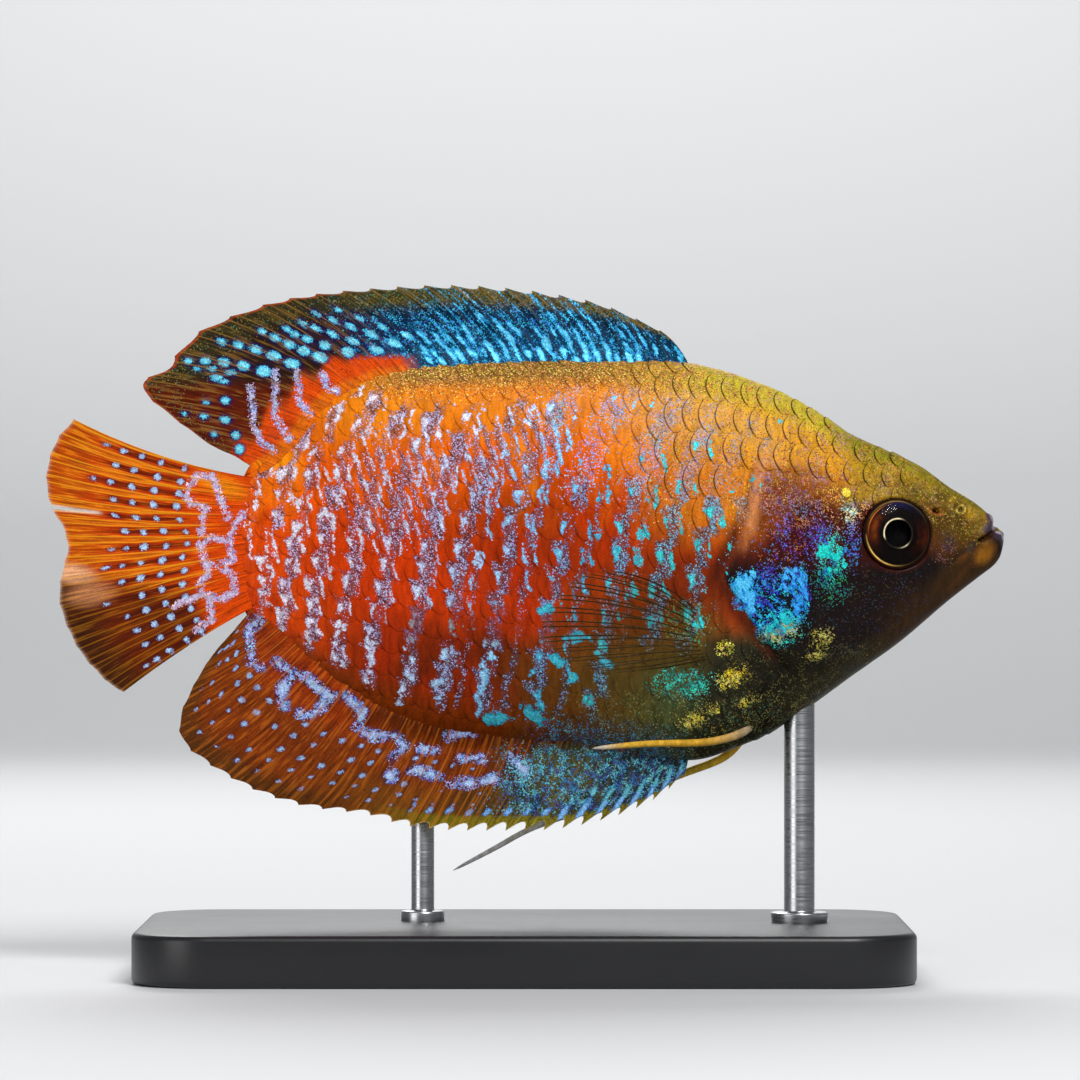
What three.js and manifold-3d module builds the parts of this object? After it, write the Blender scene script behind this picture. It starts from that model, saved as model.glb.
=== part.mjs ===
// A dwarf gourami as a life-size display model on a plain stand, in millimetres.
// +X points to the snout, +Z is up, and the fish is the same on both sides of Y = 0.
// The fish has its own group, whose Z = 0 is the level of the mouth.

import * as THREE from "three";
import { mergeVertices } from "three/addons/utils/BufferGeometryUtils.js";
import Module from "manifold-3d";

// Driving sizes
const BODY_LENGTH = 60;
const SNOUT_X = 37.5;
const FISH_LEVEL = 33.9;
const GAP = 0.3;
const RING_SIDES = 32;
const BODY_STATIONS = 44;
const STATION_CROWDING = 1.35;
const TAIL_ROUNDING = 0.8;
const TAIL_ROUNDING_TURNS = [0.45, 0.8];
const FAR = 80;
const MERGE_DISTANCE = 1e-4;

const STAND_LENGTH = 60;
const STAND_WIDTH = 36;
const STAND_THICKNESS = 4;
const STAND_CORNER = 6;
const STAND_BEVEL = 0.5;
const ROD_FRONT = { x: 21.5, y: 0, radius: 1.2, top: -12 };
const ROD_REAR = { x: -8, y: 2, radius: 0.9, top: -10.5 };
const ROD_SIDES = 16;

// Body lines, each as [distance behind the snout, value]
const BACK_LINE = [
  [0, 0], [0.23, 0.6], [0.7, 1.3], [1.2, 2.05], [2, 2.8], [4.3, 4.25], [6.6, 5.9], [9.75, 7.35],
  [12.1, 8.45], [15.2, 10.4], [18.3, 12.05], [24.4, 13.8], [31.6, 14.15], [44.9, 13.9],
  [48.8, 13.4], [52.7, 11.5], [55.8, 8.2], [57.7, 6.6], [60, 5.75],
];
const BELLY_LINE = [
  [0, 0], [0.1, -0.6], [0.31, -1.35], [0.86, -2.1], [2, -3], [4.3, -4.8], [8.2, -8.1], [11.3, -10.3],
  [16.8, -14.2], [19.9, -15.9], [24.6, -17.3], [31.2, -16.3], [43.7, -15.1], [47.2, -14.2],
  [51.5, -12.1], [55.8, -8.9], [58.9, -6.6], [60, -6.1],
];
const HALF_WIDTH = [
  [0, 0], [0.3, 0.62], [1.2, 1.25], [2.5, 1.75], [4.5, 2.4], [7, 3.05], [10, 3.75], [14, 4.6],
  [19, 5.15], [24, 5.3], [30, 5.1], [37, 4.5], [44, 3.65], [50, 2.75], [55, 1.95], [60, 1.3],
];
// Power of the sine in the section: below 1 is fuller than an ellipse, above 1 is keeled
const SECTION_POWER = [[0, 0.9], [10, 0.85], [24, 1], [60, 1.1]];
// Level of the widest point as a share of the height
const WIDEST_SHARE = [[0, 0.5], [10, 0.47], [24, 0.5], [60, 0.5]];

// Dividing curves in the side view, as [x, z]
const HEAD_EDGE = [
  [20.3, 16], [19.6, 10.5], [18.2, 7.2], [17.4, 4.4], [17.1, 1.6], [16.3, -0.7], [15.4, -2.9],
  [16.3, -4.4], [17.6, -6.4], [19.4, -8.7], [21, -11.5], [22.4, -18],
];
const TAIL_EDGE = [[-17.2, 20], [-17.2, 10], [-17.9, 0], [-17.4, -10], [-17, -20]];
const GILL_FRONT = [[20.6, 6.6], [21.6, 4], [22, 0], [22, -5], [21.8, -7.8], [21.2, -9.2]];
const GILL_TOP = 6.4;
const GILL_BOTTOM = -9.4;
const GILL_RISE = 0.3;
const GILL_INNER = 2.4;

// Mouth: the wedge between the lips, and the slit behind its corner that frees the lower jaw
const MOUTH_UPPER = [[35.7, 0.02], [36.2, 0.4], [36.52, 1], [36.5, 1.85], [39, 4.2]];
const MOUTH_LOWER = [[39, 1.7], [37.2, 0.72], [36.6, 0.22]];
const MOUTH_MIDDLE = [[39, 3], [36.9, 1.3], [36.4, 0.31]];
const JAW_EDGE = [[35.75, 0.06], [34.7, -1.5], [33.7, -3.2], [32.8, -5.6], [32.4, -9]];
const LIP_RADIUS = 0.3;
const LIP_SIDES = 6;
const LIP_STEPS = 12;
const UPPER_LIP = [[35.75, 1.4, 0.15], [36.2, 1.05, 0.9], [36.42, 0.5, 1.3], [36.5, 0, 1.42]];
const LOWER_LIP = [[35.85, 1.4, -0.35], [36.5, 1, -0.05], [37, 0.5, 0.3], [37.15, 0, 0.4]];

// Eye and nostrils
const EYE = { x: 28.98, z: 0.5, radius: 2.65, back: 2.2, dome: 0.75, forward: 13, up: 4 };
const EYE_SEGMENTS = 24;
const EYE_BACK_STEPS = 5;
const EYE_DOME_STEPS = 4;
const NOSTRIL_SIDES = 8;
const NOSTRILS = [
  { x: 32.1, z: 2.3, radius: 0.3 },
  { x: 33.95, z: 2.55, radius: 0.34 },
];

// Fins
const MEMBRANE = { root: 0.4, middle: 0.27, tip: 0.14, thinFrom: 0.9 };
const RAY_RIDGE = 0.2;
const RIDGE_FADE = 0.8;
const ROOT_DEPTH = 1.2;
const MEDIAN_SWAY_TURNS = 2.4;

const DORSAL_FIN = {
  rays: 24,
  rows: 7,
  front: 13.2,
  rear: -20.6,
  baseKnee: [0.65, 0.83],
  tipKnee: [0.65, 0.59],
  notch: [0.13, 0.02],
  bow: [0.1, 0.02],
  sway: 0.45,
  edge: [
    [10.57, 16.41], [8.39, 17.5], [5.89, 18.52], [1.6, 19.38], [-2.69, 19.84], [-6.59, 19.96],
    [-10.88, 19.77], [-15.95, 19.3], [-19.46, 18.67], [-22.97, 17.5], [-25.55, 16.26],
    [-27.03, 14.85], [-28.04, 13.45], [-30.15, 12.2], [-29.21, 10.95], [-26.87, 9.08],
    [-24.38, 7.36], [-22.19, 6.5],
  ],
};

const ANAL_FIN = {
  rays: 32,
  rows: 6,
  front: 12.9,
  rear: -21.4,
  baseKnee: [0.53, 0.66],
  tipKnee: [0.53, 0.47],
  notch: [0.09, 0.01],
  bow: [0.04, 0.03],
  sway: -0.4,
  edge: [
    [12.44, -18.53], [10.57, -20.01], [9.01, -20.87], [5.89, -21.96], [1.99, -22.67],
    [-1.91, -22.74], [-6.59, -22.67], [-9.71, -22.28], [-12.05, -21.57], [-17.51, -20.79],
    [-21.41, -19.47], [-25.31, -17.13], [-26.79, -15.72], [-27.03, -14.16], [-26.25, -12.06],
    [-24.53, -9.17], [-22.43, -6.83],
  ],
};

const CAUDAL_FIN = {
  rays: 15,
  rows: 7,
  top: 4.9,
  bottom: -5.3,
  notch: [0.015, 0.015],
  bow: [-0.04, 0.02],
  sway: 0.5,
  swayStart: 0.6,
  edge: [
    [-35.3, 9.47], [-36.47, 8.14], [-37.17, 6.66], [-37.48, 4.71], [-37.09, 2.61], [-36.23, 1.2],
    [-35.76, -0.59], [-36.23, -2.7], [-36.39, -4.65], [-35.76, -6.83], [-34.52, -9.09],
    [-32.18, -11.51], [-31.4, -11.9],
  ],
};

const PECTORAL_FIN = {
  rays: 11,
  rows: 6,
  baseX: 14.3,
  baseZ: -7.85,
  baseHeight: 2.7,
  sunk: 0.55,
  splay: 13,
  bulge: 1.5,
  ripple: 0.25,
  notch: [0.04, 0.04],
  bow: [0, 0],
  edge: [
    [-8.2, 5.5], [-10.7, 5.2], [-12.2, 3.7], [-13.5, 1.9], [-13.8, 0.4], [-12.3, -1], [-10.2, -2.2],
    [-8.2, -2.4],
  ],
};

// Thread-like pelvic fins, as [x, distance from the mid-plane, z], root first
const FEELER_ROOT_RADIUS = 0.36;
const FEELER_TIP_RADIUS = 0.22;
const FEELER_SIDES = 8;
const FEELER_STEPS = 22;
const RIGHT_FEELER = [
  [18.2, 1, -13.2], [17.4, 2.1, -14.7], [14.9, 3.2, -15.6], [9.4, 4.8, -15.8], [5.27, 6.6, -16.1],
];
const LEFT_FEELER = [
  [18.2, 1, -13.2], [17.3, 1.9, -15.2], [15.9, 2.3, -16.9], [12.4, 2.8, -18.4], [6.5, 3.3, -20.6],
  [0.43, 4.2, -22.8], [-2.3, 4.6, -24.3], [-5.66, 4.8, -26.1],
];

const wasm = await Module();
wasm.setup();

// Solids and geometries

// A closed geometry as a solid, with the vertices that share a place merged.
function solidOf(geometry) {
  const bare = geometry.clone();
  bare.deleteAttribute("normal");
  bare.deleteAttribute("uv");
  const merged = mergeVertices(bare, MERGE_DISTANCE);
  return new wasm.Manifold(
    new wasm.Mesh({
      numProp: 3,
      vertProperties: merged.attributes.position.array,
      triVerts: new Uint32Array(merged.index.array),
    }),
  );
}

function geometryOf(solid) {
  const mesh = solid.getMesh();
  const geometry = new THREE.BufferGeometry();
  geometry.setAttribute("position", new THREE.BufferAttribute(mesh.vertProperties, 3));
  geometry.setIndex(new THREE.BufferAttribute(mesh.triVerts, 1));
  geometry.computeVertexNormals();
  return geometry;
}

// The largest closed surface of a solid: loose scraps that a cut leaves are dropped.
function largest(solid) {
  return solid.decompose().reduce((best, piece) => (piece.volume() > best.volume() ? piece : best));
}

// A closed geometry from triangles given by corner points.
function geometryFromTriangles(triangles) {
  const geometry = new THREE.BufferGeometry();
  const values = new Float32Array(triangles.length * 9);
  triangles.flat().forEach((point, i) => values.set([point.x, point.y, point.z], i * 3));
  geometry.setAttribute("position", new THREE.BufferAttribute(values, 3));
  return geometry;
}

// A closed skin over rings of equal count, with a point at each end.
function ringSkin(startPoint, rings, endPoint) {
  const triangles = [];
  const sides = rings[0].length;
  const last = rings[rings.length - 1];
  for (let i = 0; i < sides; i++) {
    const j = (i + 1) % sides;
    triangles.push([startPoint, rings[0][j], rings[0][i]]);
    triangles.push([endPoint, last[i], last[j]]);
    for (let k = 0; k + 1 < rings.length; k++) {
      const near = rings[k];
      const next = rings[k + 1];
      triangles.push([near[i], near[j], next[j]]);
      triangles.push([near[i], next[j], next[i]]);
    }
  }
  return geometryFromTriangles(triangles);
}

// A smooth function through [position, value] points, with no overshoot between them.
function profile(points) {
  const slopes = points.slice(1).map((p, i) => (p[1] - points[i][1]) / (p[0] - points[i][0]));
  const tangents = points.map((_, i) => {
    if (i === 0) return slopes[0];
    if (i === points.length - 1) return slopes[i - 1];
    const before = slopes[i - 1];
    const after = slopes[i];
    return before * after <= 0 ? 0 : (2 * before * after) / (before + after);
  });
  return (s) => {
    const last = points.length - 2;
    const found = points.findIndex((p, i) => i > last || s < points[i + 1][0]);
    const i = Math.min(found, last);
    const span = points[i + 1][0] - points[i][0];
    const t = THREE.MathUtils.clamp((s - points[i][0]) / span, 0, 1);
    const rise = t * t * (3 - 2 * t);
    return (
      points[i][1] * (1 - rise) +
      points[i + 1][1] * rise +
      tangents[i] * span * t * (1 - t) * (1 - t) -
      tangents[i + 1] * span * t * t * (1 - t)
    );
  };
}

// A prism across the fish from a closed outline in the side view.
function prism(outline, yLow = -FAR, yHigh = FAR) {
  const shape = new THREE.Shape(outline.map(([x, z]) => new THREE.Vector2(x, z)));
  const geometry = new THREE.ExtrudeGeometry(shape, { depth: yHigh - yLow, bevelEnabled: false });
  geometry.rotateX(Math.PI / 2);
  geometry.translate(0, yHigh, 0);
  return solidOf(geometry);
}

function smoothPath(points, count) {
  const curve = new THREE.SplineCurve(points.map(([x, z]) => new THREE.Vector2(x, z)));
  return curve.getPoints(count).map((p) => [p.x, p.y]);
}

// Parts a solid along a downward curve with a gap, and returns the front and the rear piece.
function partAlong(solid, edge, gap) {
  const shifted = (amount) => edge.map(([x, z]) => [x + amount, z]);
  const rearCutter = [...shifted(gap / 2), [-FAR, edge[edge.length - 1][1]], [-FAR, edge[0][1]]];
  const frontCutter = [...shifted(-gap / 2), [FAR, edge[edge.length - 1][1]], [FAR, edge[0][1]]];
  return {
    front: largest(solid.subtract(prism(rearCutter))),
    rear: largest(solid.subtract(prism(frontCutter))),
  };
}

// Body

const backLine = profile(BACK_LINE);
const bellyLine = profile(BELLY_LINE);
const halfWidth = profile(HALF_WIDTH);
const sectionPower = profile(SECTION_POWER);
const widestShare = profile(WIDEST_SHARE);

const distanceOf = (x) => SNOUT_X - x;

// Section of the body at a distance behind the snout, grown outwards by a margin.
function section(distance, grow = 0) {
  const top = backLine(distance) + grow;
  const bottom = bellyLine(distance) - grow;
  const middle = bottom + (top - bottom) * widestShare(distance);
  return { top, bottom, middle, half: halfWidth(distance) + grow, power: sectionPower(distance) };
}

function bodyRing(distance, x, grow, scale = 1) {
  const { top, bottom, middle, half, power } = section(distance, grow);
  const ring = [];
  for (let i = 0; i < RING_SIDES; i++) {
    const angle = (2 * Math.PI * i) / RING_SIDES;
    const height = Math.cos(angle) * (Math.cos(angle) > 0 ? top - middle : middle - bottom);
    const side = Math.sign(Math.sin(angle)) * Math.abs(Math.sin(angle)) ** power;
    const y = Math.abs(side) < 1e-6 ? 0 : side * half * scale;
    ring.push(new THREE.Vector3(x, y, middle + height * scale));
  }
  return ring;
}

// The whole body from the lips to the root of the tail fin.
function bodySolid(grow = 0) {
  const rings = [];
  const stretch = (BODY_LENGTH + 2 * grow) / BODY_LENGTH;
  const place = (distance) => SNOUT_X + grow - distance * stretch;
  for (let i = 1; i <= BODY_STATIONS; i++) {
    const distance = BODY_LENGTH * (i / BODY_STATIONS) ** STATION_CROWDING;
    rings.push(bodyRing(distance, place(distance), grow));
  }
  for (const turn of TAIL_ROUNDING_TURNS) {
    const angle = (turn * Math.PI) / 2;
    const x = place(BODY_LENGTH) - TAIL_ROUNDING * Math.sin(angle);
    rings.push(bodyRing(BODY_LENGTH, x, grow, Math.cos(angle)));
  }
  const snout = new THREE.Vector3(SNOUT_X + grow, 0, section(0).middle);
  const tail = section(BODY_LENGTH);
  const end = new THREE.Vector3(place(BODY_LENGTH) - TAIL_ROUNDING, 0, tail.middle);
  return solidOf(ringSkin(snout, rings, end));
}

// Distance of the flank from the mid-plane at a place in the side view.
function flankDistance(x, z) {
  const { top, bottom, middle, half, power } = section(distanceOf(x));
  const reach = z > middle ? top - middle : middle - bottom;
  return half * Math.max(0, 1 - ((z - middle) / reach) ** 2) ** (power / 2);
}

// Tubes of changing radius

function taperedTube(points, radiusAt, sides, steps) {
  const through = points.map((p) => new THREE.Vector3(...p));
  const curve = new THREE.CatmullRomCurve3(through, false, "centripetal");
  const frames = curve.computeFrenetFrames(steps);
  const rings = [];
  for (let i = 0; i <= steps; i++) {
    const centre = curve.getPointAt(i / steps);
    const radius = radiusAt(i / steps);
    const ring = [];
    for (let k = 0; k < sides; k++) {
      const angle = (-2 * Math.PI * k) / sides;
      ring.push(
        centre
          .clone()
          .addScaledVector(frames.normals[i], radius * Math.cos(angle))
          .addScaledVector(frames.binormals[i], radius * Math.sin(angle)),
      );
    }
    rings.push(ring);
  }
  const start = curve.getPointAt(0);
  const end = curve.getPointAt(1).addScaledVector(frames.tangents[steps], radiusAt(1));
  return outward(ringSkin(start, rings, end));
}

// Turns a closed geometry's faces outwards if they point inwards.
function outward(geometry) {
  const values = geometry.attributes.position.array;
  if (solidOf(geometry).volume() > 0) return geometry;
  for (let i = 0; i < values.length; i += 9) {
    const second = values.slice(i + 3, i + 6);
    values.copyWithin(i + 3, i + 6, i + 9);
    values.set(second, i + 6);
  }
  return geometry;
}

// Head

function lipSolid(halfPath) {
  const mirrored = halfPath.slice(0, -1).reverse().map(([x, y, z]) => [x, -y, z]);
  const radiusAt = (t) => LIP_RADIUS * (0.5 + 0.5 * Math.sin(Math.PI * t));
  return solidOf(taperedTube([...halfPath, ...mirrored], radiusAt, LIP_SIDES, LIP_STEPS));
}

function mouthCutter() {
  return prism([...MOUTH_UPPER, ...MOUTH_LOWER]);
}

// All that lies below the gape and in front of the jaw's rear edge, with that edge moved forward.
function jawRegion(forward) {
  const edge = smoothPath(JAW_EDGE, 10).map(([x, z]) => [x + forward, z]);
  return prism([...MOUTH_MIDDLE, ...edge, [FAR, edge[edge.length - 1][1]], [FAR, MOUTH_MIDDLE[0][1]]]);
}

function nostrilCutter({ x, z, radius }, side) {
  const geometry = new THREE.SphereGeometry(radius, NOSTRIL_SIDES, NOSTRIL_SIDES / 2 + 1);
  geometry.translate(x, side * flankDistance(x, z), z);
  return solidOf(geometry);
}

// The eye turned about its own axis: a deep back half and a shallow dome towards +Y.
function eyeGeometry(grow = 0) {
  const rim = EYE.radius + grow;
  const points = [];
  for (let i = 0; i <= EYE_BACK_STEPS; i++) {
    const angle = ((i / EYE_BACK_STEPS) * Math.PI) / 2;
    points.push(new THREE.Vector2(rim * Math.sin(angle), -(EYE.back + grow) * Math.cos(angle)));
  }
  for (let i = 1; i < EYE_DOME_STEPS; i++) {
    const angle = ((i / EYE_DOME_STEPS) * Math.PI) / 2;
    points.push(new THREE.Vector2(rim * Math.cos(angle), (EYE.dome + grow) * Math.sin(angle)));
  }
  points.push(new THREE.Vector2(0, EYE.dome + grow));
  return outward(new THREE.LatheGeometry(points, EYE_SEGMENTS).toNonIndexed());
}

// Place of an eye: its rim lies in the flank, and its axis leans forward and up.
function eyeMatrix(side) {
  const lean = THREE.MathUtils.degToRad(EYE.forward);
  const rise = THREE.MathUtils.degToRad(EYE.up);
  const turn = side > 0 ? -lean : Math.PI + lean;
  const y = side * flankDistance(EYE.x, EYE.z);
  return new THREE.Matrix4()
    .makeTranslation(EYE.x, y, EYE.z)
    .multiply(new THREE.Matrix4().makeRotationZ(turn))
    .multiply(new THREE.Matrix4().makeRotationX(rise));
}

// The gill cover in the side view lies between the dividing curve behind the head and its own front edge.
function gillPlateOutline() {
  const rear = smoothPath(HEAD_EDGE, 60).filter(([, z]) => z < GILL_TOP && z > GILL_BOTTOM);
  return [...rear.map(([x, z]) => [x + GAP / 2, z]), ...smoothPath(GILL_FRONT, 16).reverse()];
}

// Its seat in the head is open to the rear and wider by the gap at the front, top and bottom.
function gillSeatOutline() {
  const front = smoothPath(GILL_FRONT, 16).reverse();
  const low = [front[0][0], GILL_BOTTOM - GAP];
  const high = [front[front.length - 1][0], GILL_TOP + GAP];
  const shifted = front.map(([x, z]) => [x + GAP, z]);
  return [[-FAR, high[1]], [-FAR, low[1]], low, ...shifted, high];
}

function sideSlab(outline, side, inner) {
  return side > 0 ? prism(outline, inner, FAR) : prism(outline, -FAR, -inner);
}

// Fins

// Moves along a share of 0 to 1 at one rate up to a knee and at another after it.
function kneed(share, [at, value]) {
  return share < at ? (share / at) * value : value + ((share - at) / (1 - at)) * (1 - value);
}

// Half the membrane's thickness from its root (0) to its tip (1).
function membraneHalf(v) {
  if (v > MEMBRANE.thinFrom) return MEMBRANE.tip;
  return THREE.MathUtils.lerp(MEMBRANE.root, MEMBRANE.middle, v / MEMBRANE.thinFrom);
}

// A fin as a closed sheet with a ridge along each ray on both faces. Its centre surface comes from
// root and tip points in the side view; odd columns are membrane, drawn in between the ray tips.
function finSheet({ rays, rows, rootAt, tipAt, notch, bow, swayAt }) {
  const columns = 2 * rays - 1;
  const faces = { right: [], left: [] };
  for (let c = 0; c < columns; c++) {
    const share = c / (columns - 1);
    const isRay = c % 2 === 0;
    const root = rootAt(share);
    const drawnIn = isRay ? 0 : THREE.MathUtils.lerp(notch[0], notch[1], share);
    const tip = tipAt(share).lerp(root, drawnIn);
    const along = tip.clone().sub(root);
    const bend = new THREE.Vector2(along.y, -along.x);
    bend.multiplyScalar(THREE.MathUtils.lerp(bow[0], bow[1], share));
    const right = [];
    const left = [];
    for (let r = 0; r <= rows; r++) {
      const v = r / rows;
      const centre = root.clone().addScaledVector(along, v).addScaledVector(bend, 4 * v * (1 - v));
      const half = membraneHalf(v) + (isRay ? RAY_RIDGE * (1 - RIDGE_FADE * v) : 0);
      const sway = swayAt(share, v);
      right.push(new THREE.Vector3(centre.x, sway - half, centre.y));
      left.push(new THREE.Vector3(centre.x, sway + half, centre.y));
    }
    faces.right.push(right);
    faces.left.push(left);
  }
  return outward(sheetSkin(faces.right, faces.left));
}

// Closes two like grids of points into one skin, split into triangles alike on both.
function sheetSkin(right, left) {
  const triangles = [];
  const quad = (a, b, c, d) => triangles.push([a, b, c], [a, c, d]);
  const lastColumn = right.length - 1;
  const lastRow = right[0].length - 1;
  for (let c = 0; c < lastColumn; c++) {
    for (let r = 0; r < lastRow; r++) {
      triangles.push([right[c][r], right[c + 1][r], right[c + 1][r + 1]]);
      triangles.push([right[c][r], right[c + 1][r + 1], right[c][r + 1]]);
      triangles.push([left[c][r], left[c + 1][r + 1], left[c + 1][r]]);
      triangles.push([left[c][r], left[c][r + 1], left[c + 1][r + 1]]);
    }
    quad(left[c][0], left[c + 1][0], right[c + 1][0], right[c][0]);
    quad(right[c][lastRow], right[c + 1][lastRow], left[c + 1][lastRow], left[c][lastRow]);
  }
  for (let r = 0; r < lastRow; r++) {
    quad(left[0][r], right[0][r], right[0][r + 1], left[0][r + 1]);
    quad(right[lastColumn][r], left[lastColumn][r], left[lastColumn][r + 1], right[lastColumn][r + 1]);
  }
  return geometryFromTriangles(triangles);
}

function edgeCurve(points) {
  return new THREE.SplineCurve(points.map(([x, z]) => new THREE.Vector2(x, z)));
}

// A fin on the mid-plane whose root follows the back (side 1) or the belly (side -1).
function medianFin(fin, side) {
  const edge = edgeCurve(fin.edge);
  const line = side > 0 ? backLine : bellyLine;
  return finSheet({
    ...fin,
    rootAt: (share) => {
      const x = THREE.MathUtils.lerp(fin.front, fin.rear, kneed(share, fin.baseKnee));
      return new THREE.Vector2(x, line(distanceOf(x)) - side * ROOT_DEPTH);
    },
    tipAt: (share) => edge.getPointAt(kneed(share, fin.tipKnee)),
    swayAt: (share, v) => fin.sway * v * v * Math.sin(MEDIAN_SWAY_TURNS * Math.PI * share),
    bow: fin.bow.map((value) => side * value),
  });
}

function caudalFin() {
  const edge = edgeCurve(CAUDAL_FIN.edge);
  const rootX = SNOUT_X - BODY_LENGTH + ROOT_DEPTH;
  return finSheet({
    ...CAUDAL_FIN,
    rootAt: (share) =>
      new THREE.Vector2(rootX, THREE.MathUtils.lerp(CAUDAL_FIN.top, CAUDAL_FIN.bottom, share)),
    tipAt: (share) => edge.getPointAt(share),
    swayAt: (share, v) => CAUDAL_FIN.sway * v * v * Math.sin(2 * Math.PI * share + CAUDAL_FIN.swayStart),
  });
}

// A pectoral fin in its own frame: the root on its Z axis, the rays towards -X.
function pectoralFin(side) {
  const edge = edgeCurve(PECTORAL_FIN.edge);
  return finSheet({
    ...PECTORAL_FIN,
    rootAt: (share) => new THREE.Vector2(0, PECTORAL_FIN.baseHeight * (0.5 - share)),
    tipAt: (share) => edge.getPointAt(share),
    swayAt: (share, v) =>
      side * (PECTORAL_FIN.bulge * (1 - (1 - v) ** 2) + PECTORAL_FIN.ripple * v * Math.cos(5 * share)),
  });
}

function pectoralMatrix(side) {
  const { baseX, baseZ, sunk, splay } = PECTORAL_FIN;
  const y = side * (flankDistance(baseX, baseZ) - sunk);
  return new THREE.Matrix4()
    .makeTranslation(baseX, y, baseZ)
    .multiply(new THREE.Matrix4().makeRotationZ(THREE.MathUtils.degToRad(-side * splay)));
}

function feelerSolid(path, side) {
  const points = path.map(([x, y, z]) => [x, side * y, z]);
  const radiusAt = (t) => THREE.MathUtils.lerp(FEELER_ROOT_RADIUS, FEELER_TIP_RADIUS, t);
  return solidOf(taperedTube(points, radiusAt, FEELER_SIDES, FEELER_STEPS));
}

// Takes a solid away from a geometry that a matrix places, and keeps the geometry in its own frame.
function trimmedInPlace(geometry, matrix, cutter) {
  const placed = geometry.clone().applyMatrix4(matrix);
  const trimmed = geometryOf(largest(solidOf(placed).subtract(cutter)));
  return trimmed.applyMatrix4(matrix.clone().invert());
}

// Scene graph

const root = new THREE.Group();
const fish = new THREE.Group();
const stand = new THREE.Group();
fish.position.z = FISH_LEVEL;
root.add(fish, stand);

const FLANK = { color: 0xd9541a, roughness: 0.45, metalness: 0 };
const HEAD = { color: 0x8a5a24, roughness: 0.45, metalness: 0 };
const COVER = { color: 0x2f8fa8, roughness: 0.35, metalness: 0.2 };
const FIN = { color: 0xa85a22, roughness: 0.5, metalness: 0 };
const BLUE_FIN = { color: 0x2f7f9c, roughness: 0.5, metalness: 0 };
const CLEAR_FIN = { color: 0xc9b79a, roughness: 0.4, metalness: 0 };
const FEELER = { color: 0xd9a24a, roughness: 0.5, metalness: 0 };
const EYE_LOOK = { color: 0x2a1206, roughness: 0.1, metalness: 0 };
const STAND = { color: 0x1c1c1e, roughness: 0.4, metalness: 0 };

function addMesh(parent, name, shape, look, matrix) {
  const geometry = shape.isBufferGeometry ? shape : geometryOf(shape);
  const mesh = new THREE.Mesh(geometry, new THREE.MeshStandardMaterial(look));
  mesh.name = name;
  if (matrix) matrix.decompose(mesh.position, mesh.quaternion, mesh.scale);
  parent.add(mesh);
}

const SIDES = { right: -1, left: 1 };
const body = bodySolid();
const clearBody = bodySolid(GAP);

// Body, parted behind the gill covers and before the tail fin
const bodyWithLips = body.add(lipSolid(UPPER_LIP)).add(lipSolid(LOWER_LIP));
const fromHead = partAlong(bodyWithLips, smoothPath(HEAD_EDGE, 40), GAP);
const fromTorso = partAlong(fromHead.rear, smoothPath(TAIL_EDGE, 8), GAP);
addMesh(fish, "torso", fromTorso.front, FLANK);
addMesh(fish, "tail_stem", fromTorso.rear, FLANK);

// Head with its mouth, nostrils, eye sockets and the seats of the gill covers
let head = fromHead.front.subtract(mouthCutter());
const lowerJaw = largest(head.intersect(jawRegion(GAP / 2)));
head = head.subtract(jawRegion(-GAP / 2));
for (const side of Object.values(SIDES)) {
  const socket = solidOf(eyeGeometry(GAP).applyMatrix4(eyeMatrix(side)));
  head = head.subtract(socket);
  head = head.subtract(sideSlab(gillSeatOutline(), side, GILL_INNER - GAP));
  for (const nostril of NOSTRILS) head = head.subtract(nostrilCutter(nostril, side));
}
addMesh(fish, "head", largest(head), HEAD);
addMesh(fish, "lower_jaw", lowerJaw, HEAD);

// Pairs: gill covers, eyes, pectoral fins and thread-like pelvic fins
const raisedBody = bodySolid(GILL_RISE);
for (const [name, side] of Object.entries(SIDES)) {
  const cover = largest(raisedBody.intersect(sideSlab(gillPlateOutline(), side, GILL_INNER)));
  addMesh(fish, "gill_cover_" + name, cover, COVER);
  addMesh(fish, "eye_" + name, eyeGeometry(), EYE_LOOK, eyeMatrix(side));
  const matrix = pectoralMatrix(side);
  const pectoral = trimmedInPlace(pectoralFin(side), matrix, clearBody);
  addMesh(fish, "pectoral_fin_" + name, pectoral, CLEAR_FIN, matrix);
  const feeler = feelerSolid(side > 0 ? LEFT_FEELER : RIGHT_FEELER, side);
  addMesh(fish, "pelvic_feeler_" + name, largest(feeler.subtract(clearBody)), FEELER);
}

// Fins on the mid-plane
addMesh(fish, "dorsal_fin", largest(solidOf(medianFin(DORSAL_FIN, 1)).subtract(clearBody)), BLUE_FIN);
addMesh(fish, "anal_fin", largest(solidOf(medianFin(ANAL_FIN, -1)).subtract(clearBody)), FIN);
addMesh(fish, "caudal_fin", largest(solidOf(caudalFin()).subtract(clearBody)), FIN);

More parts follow.
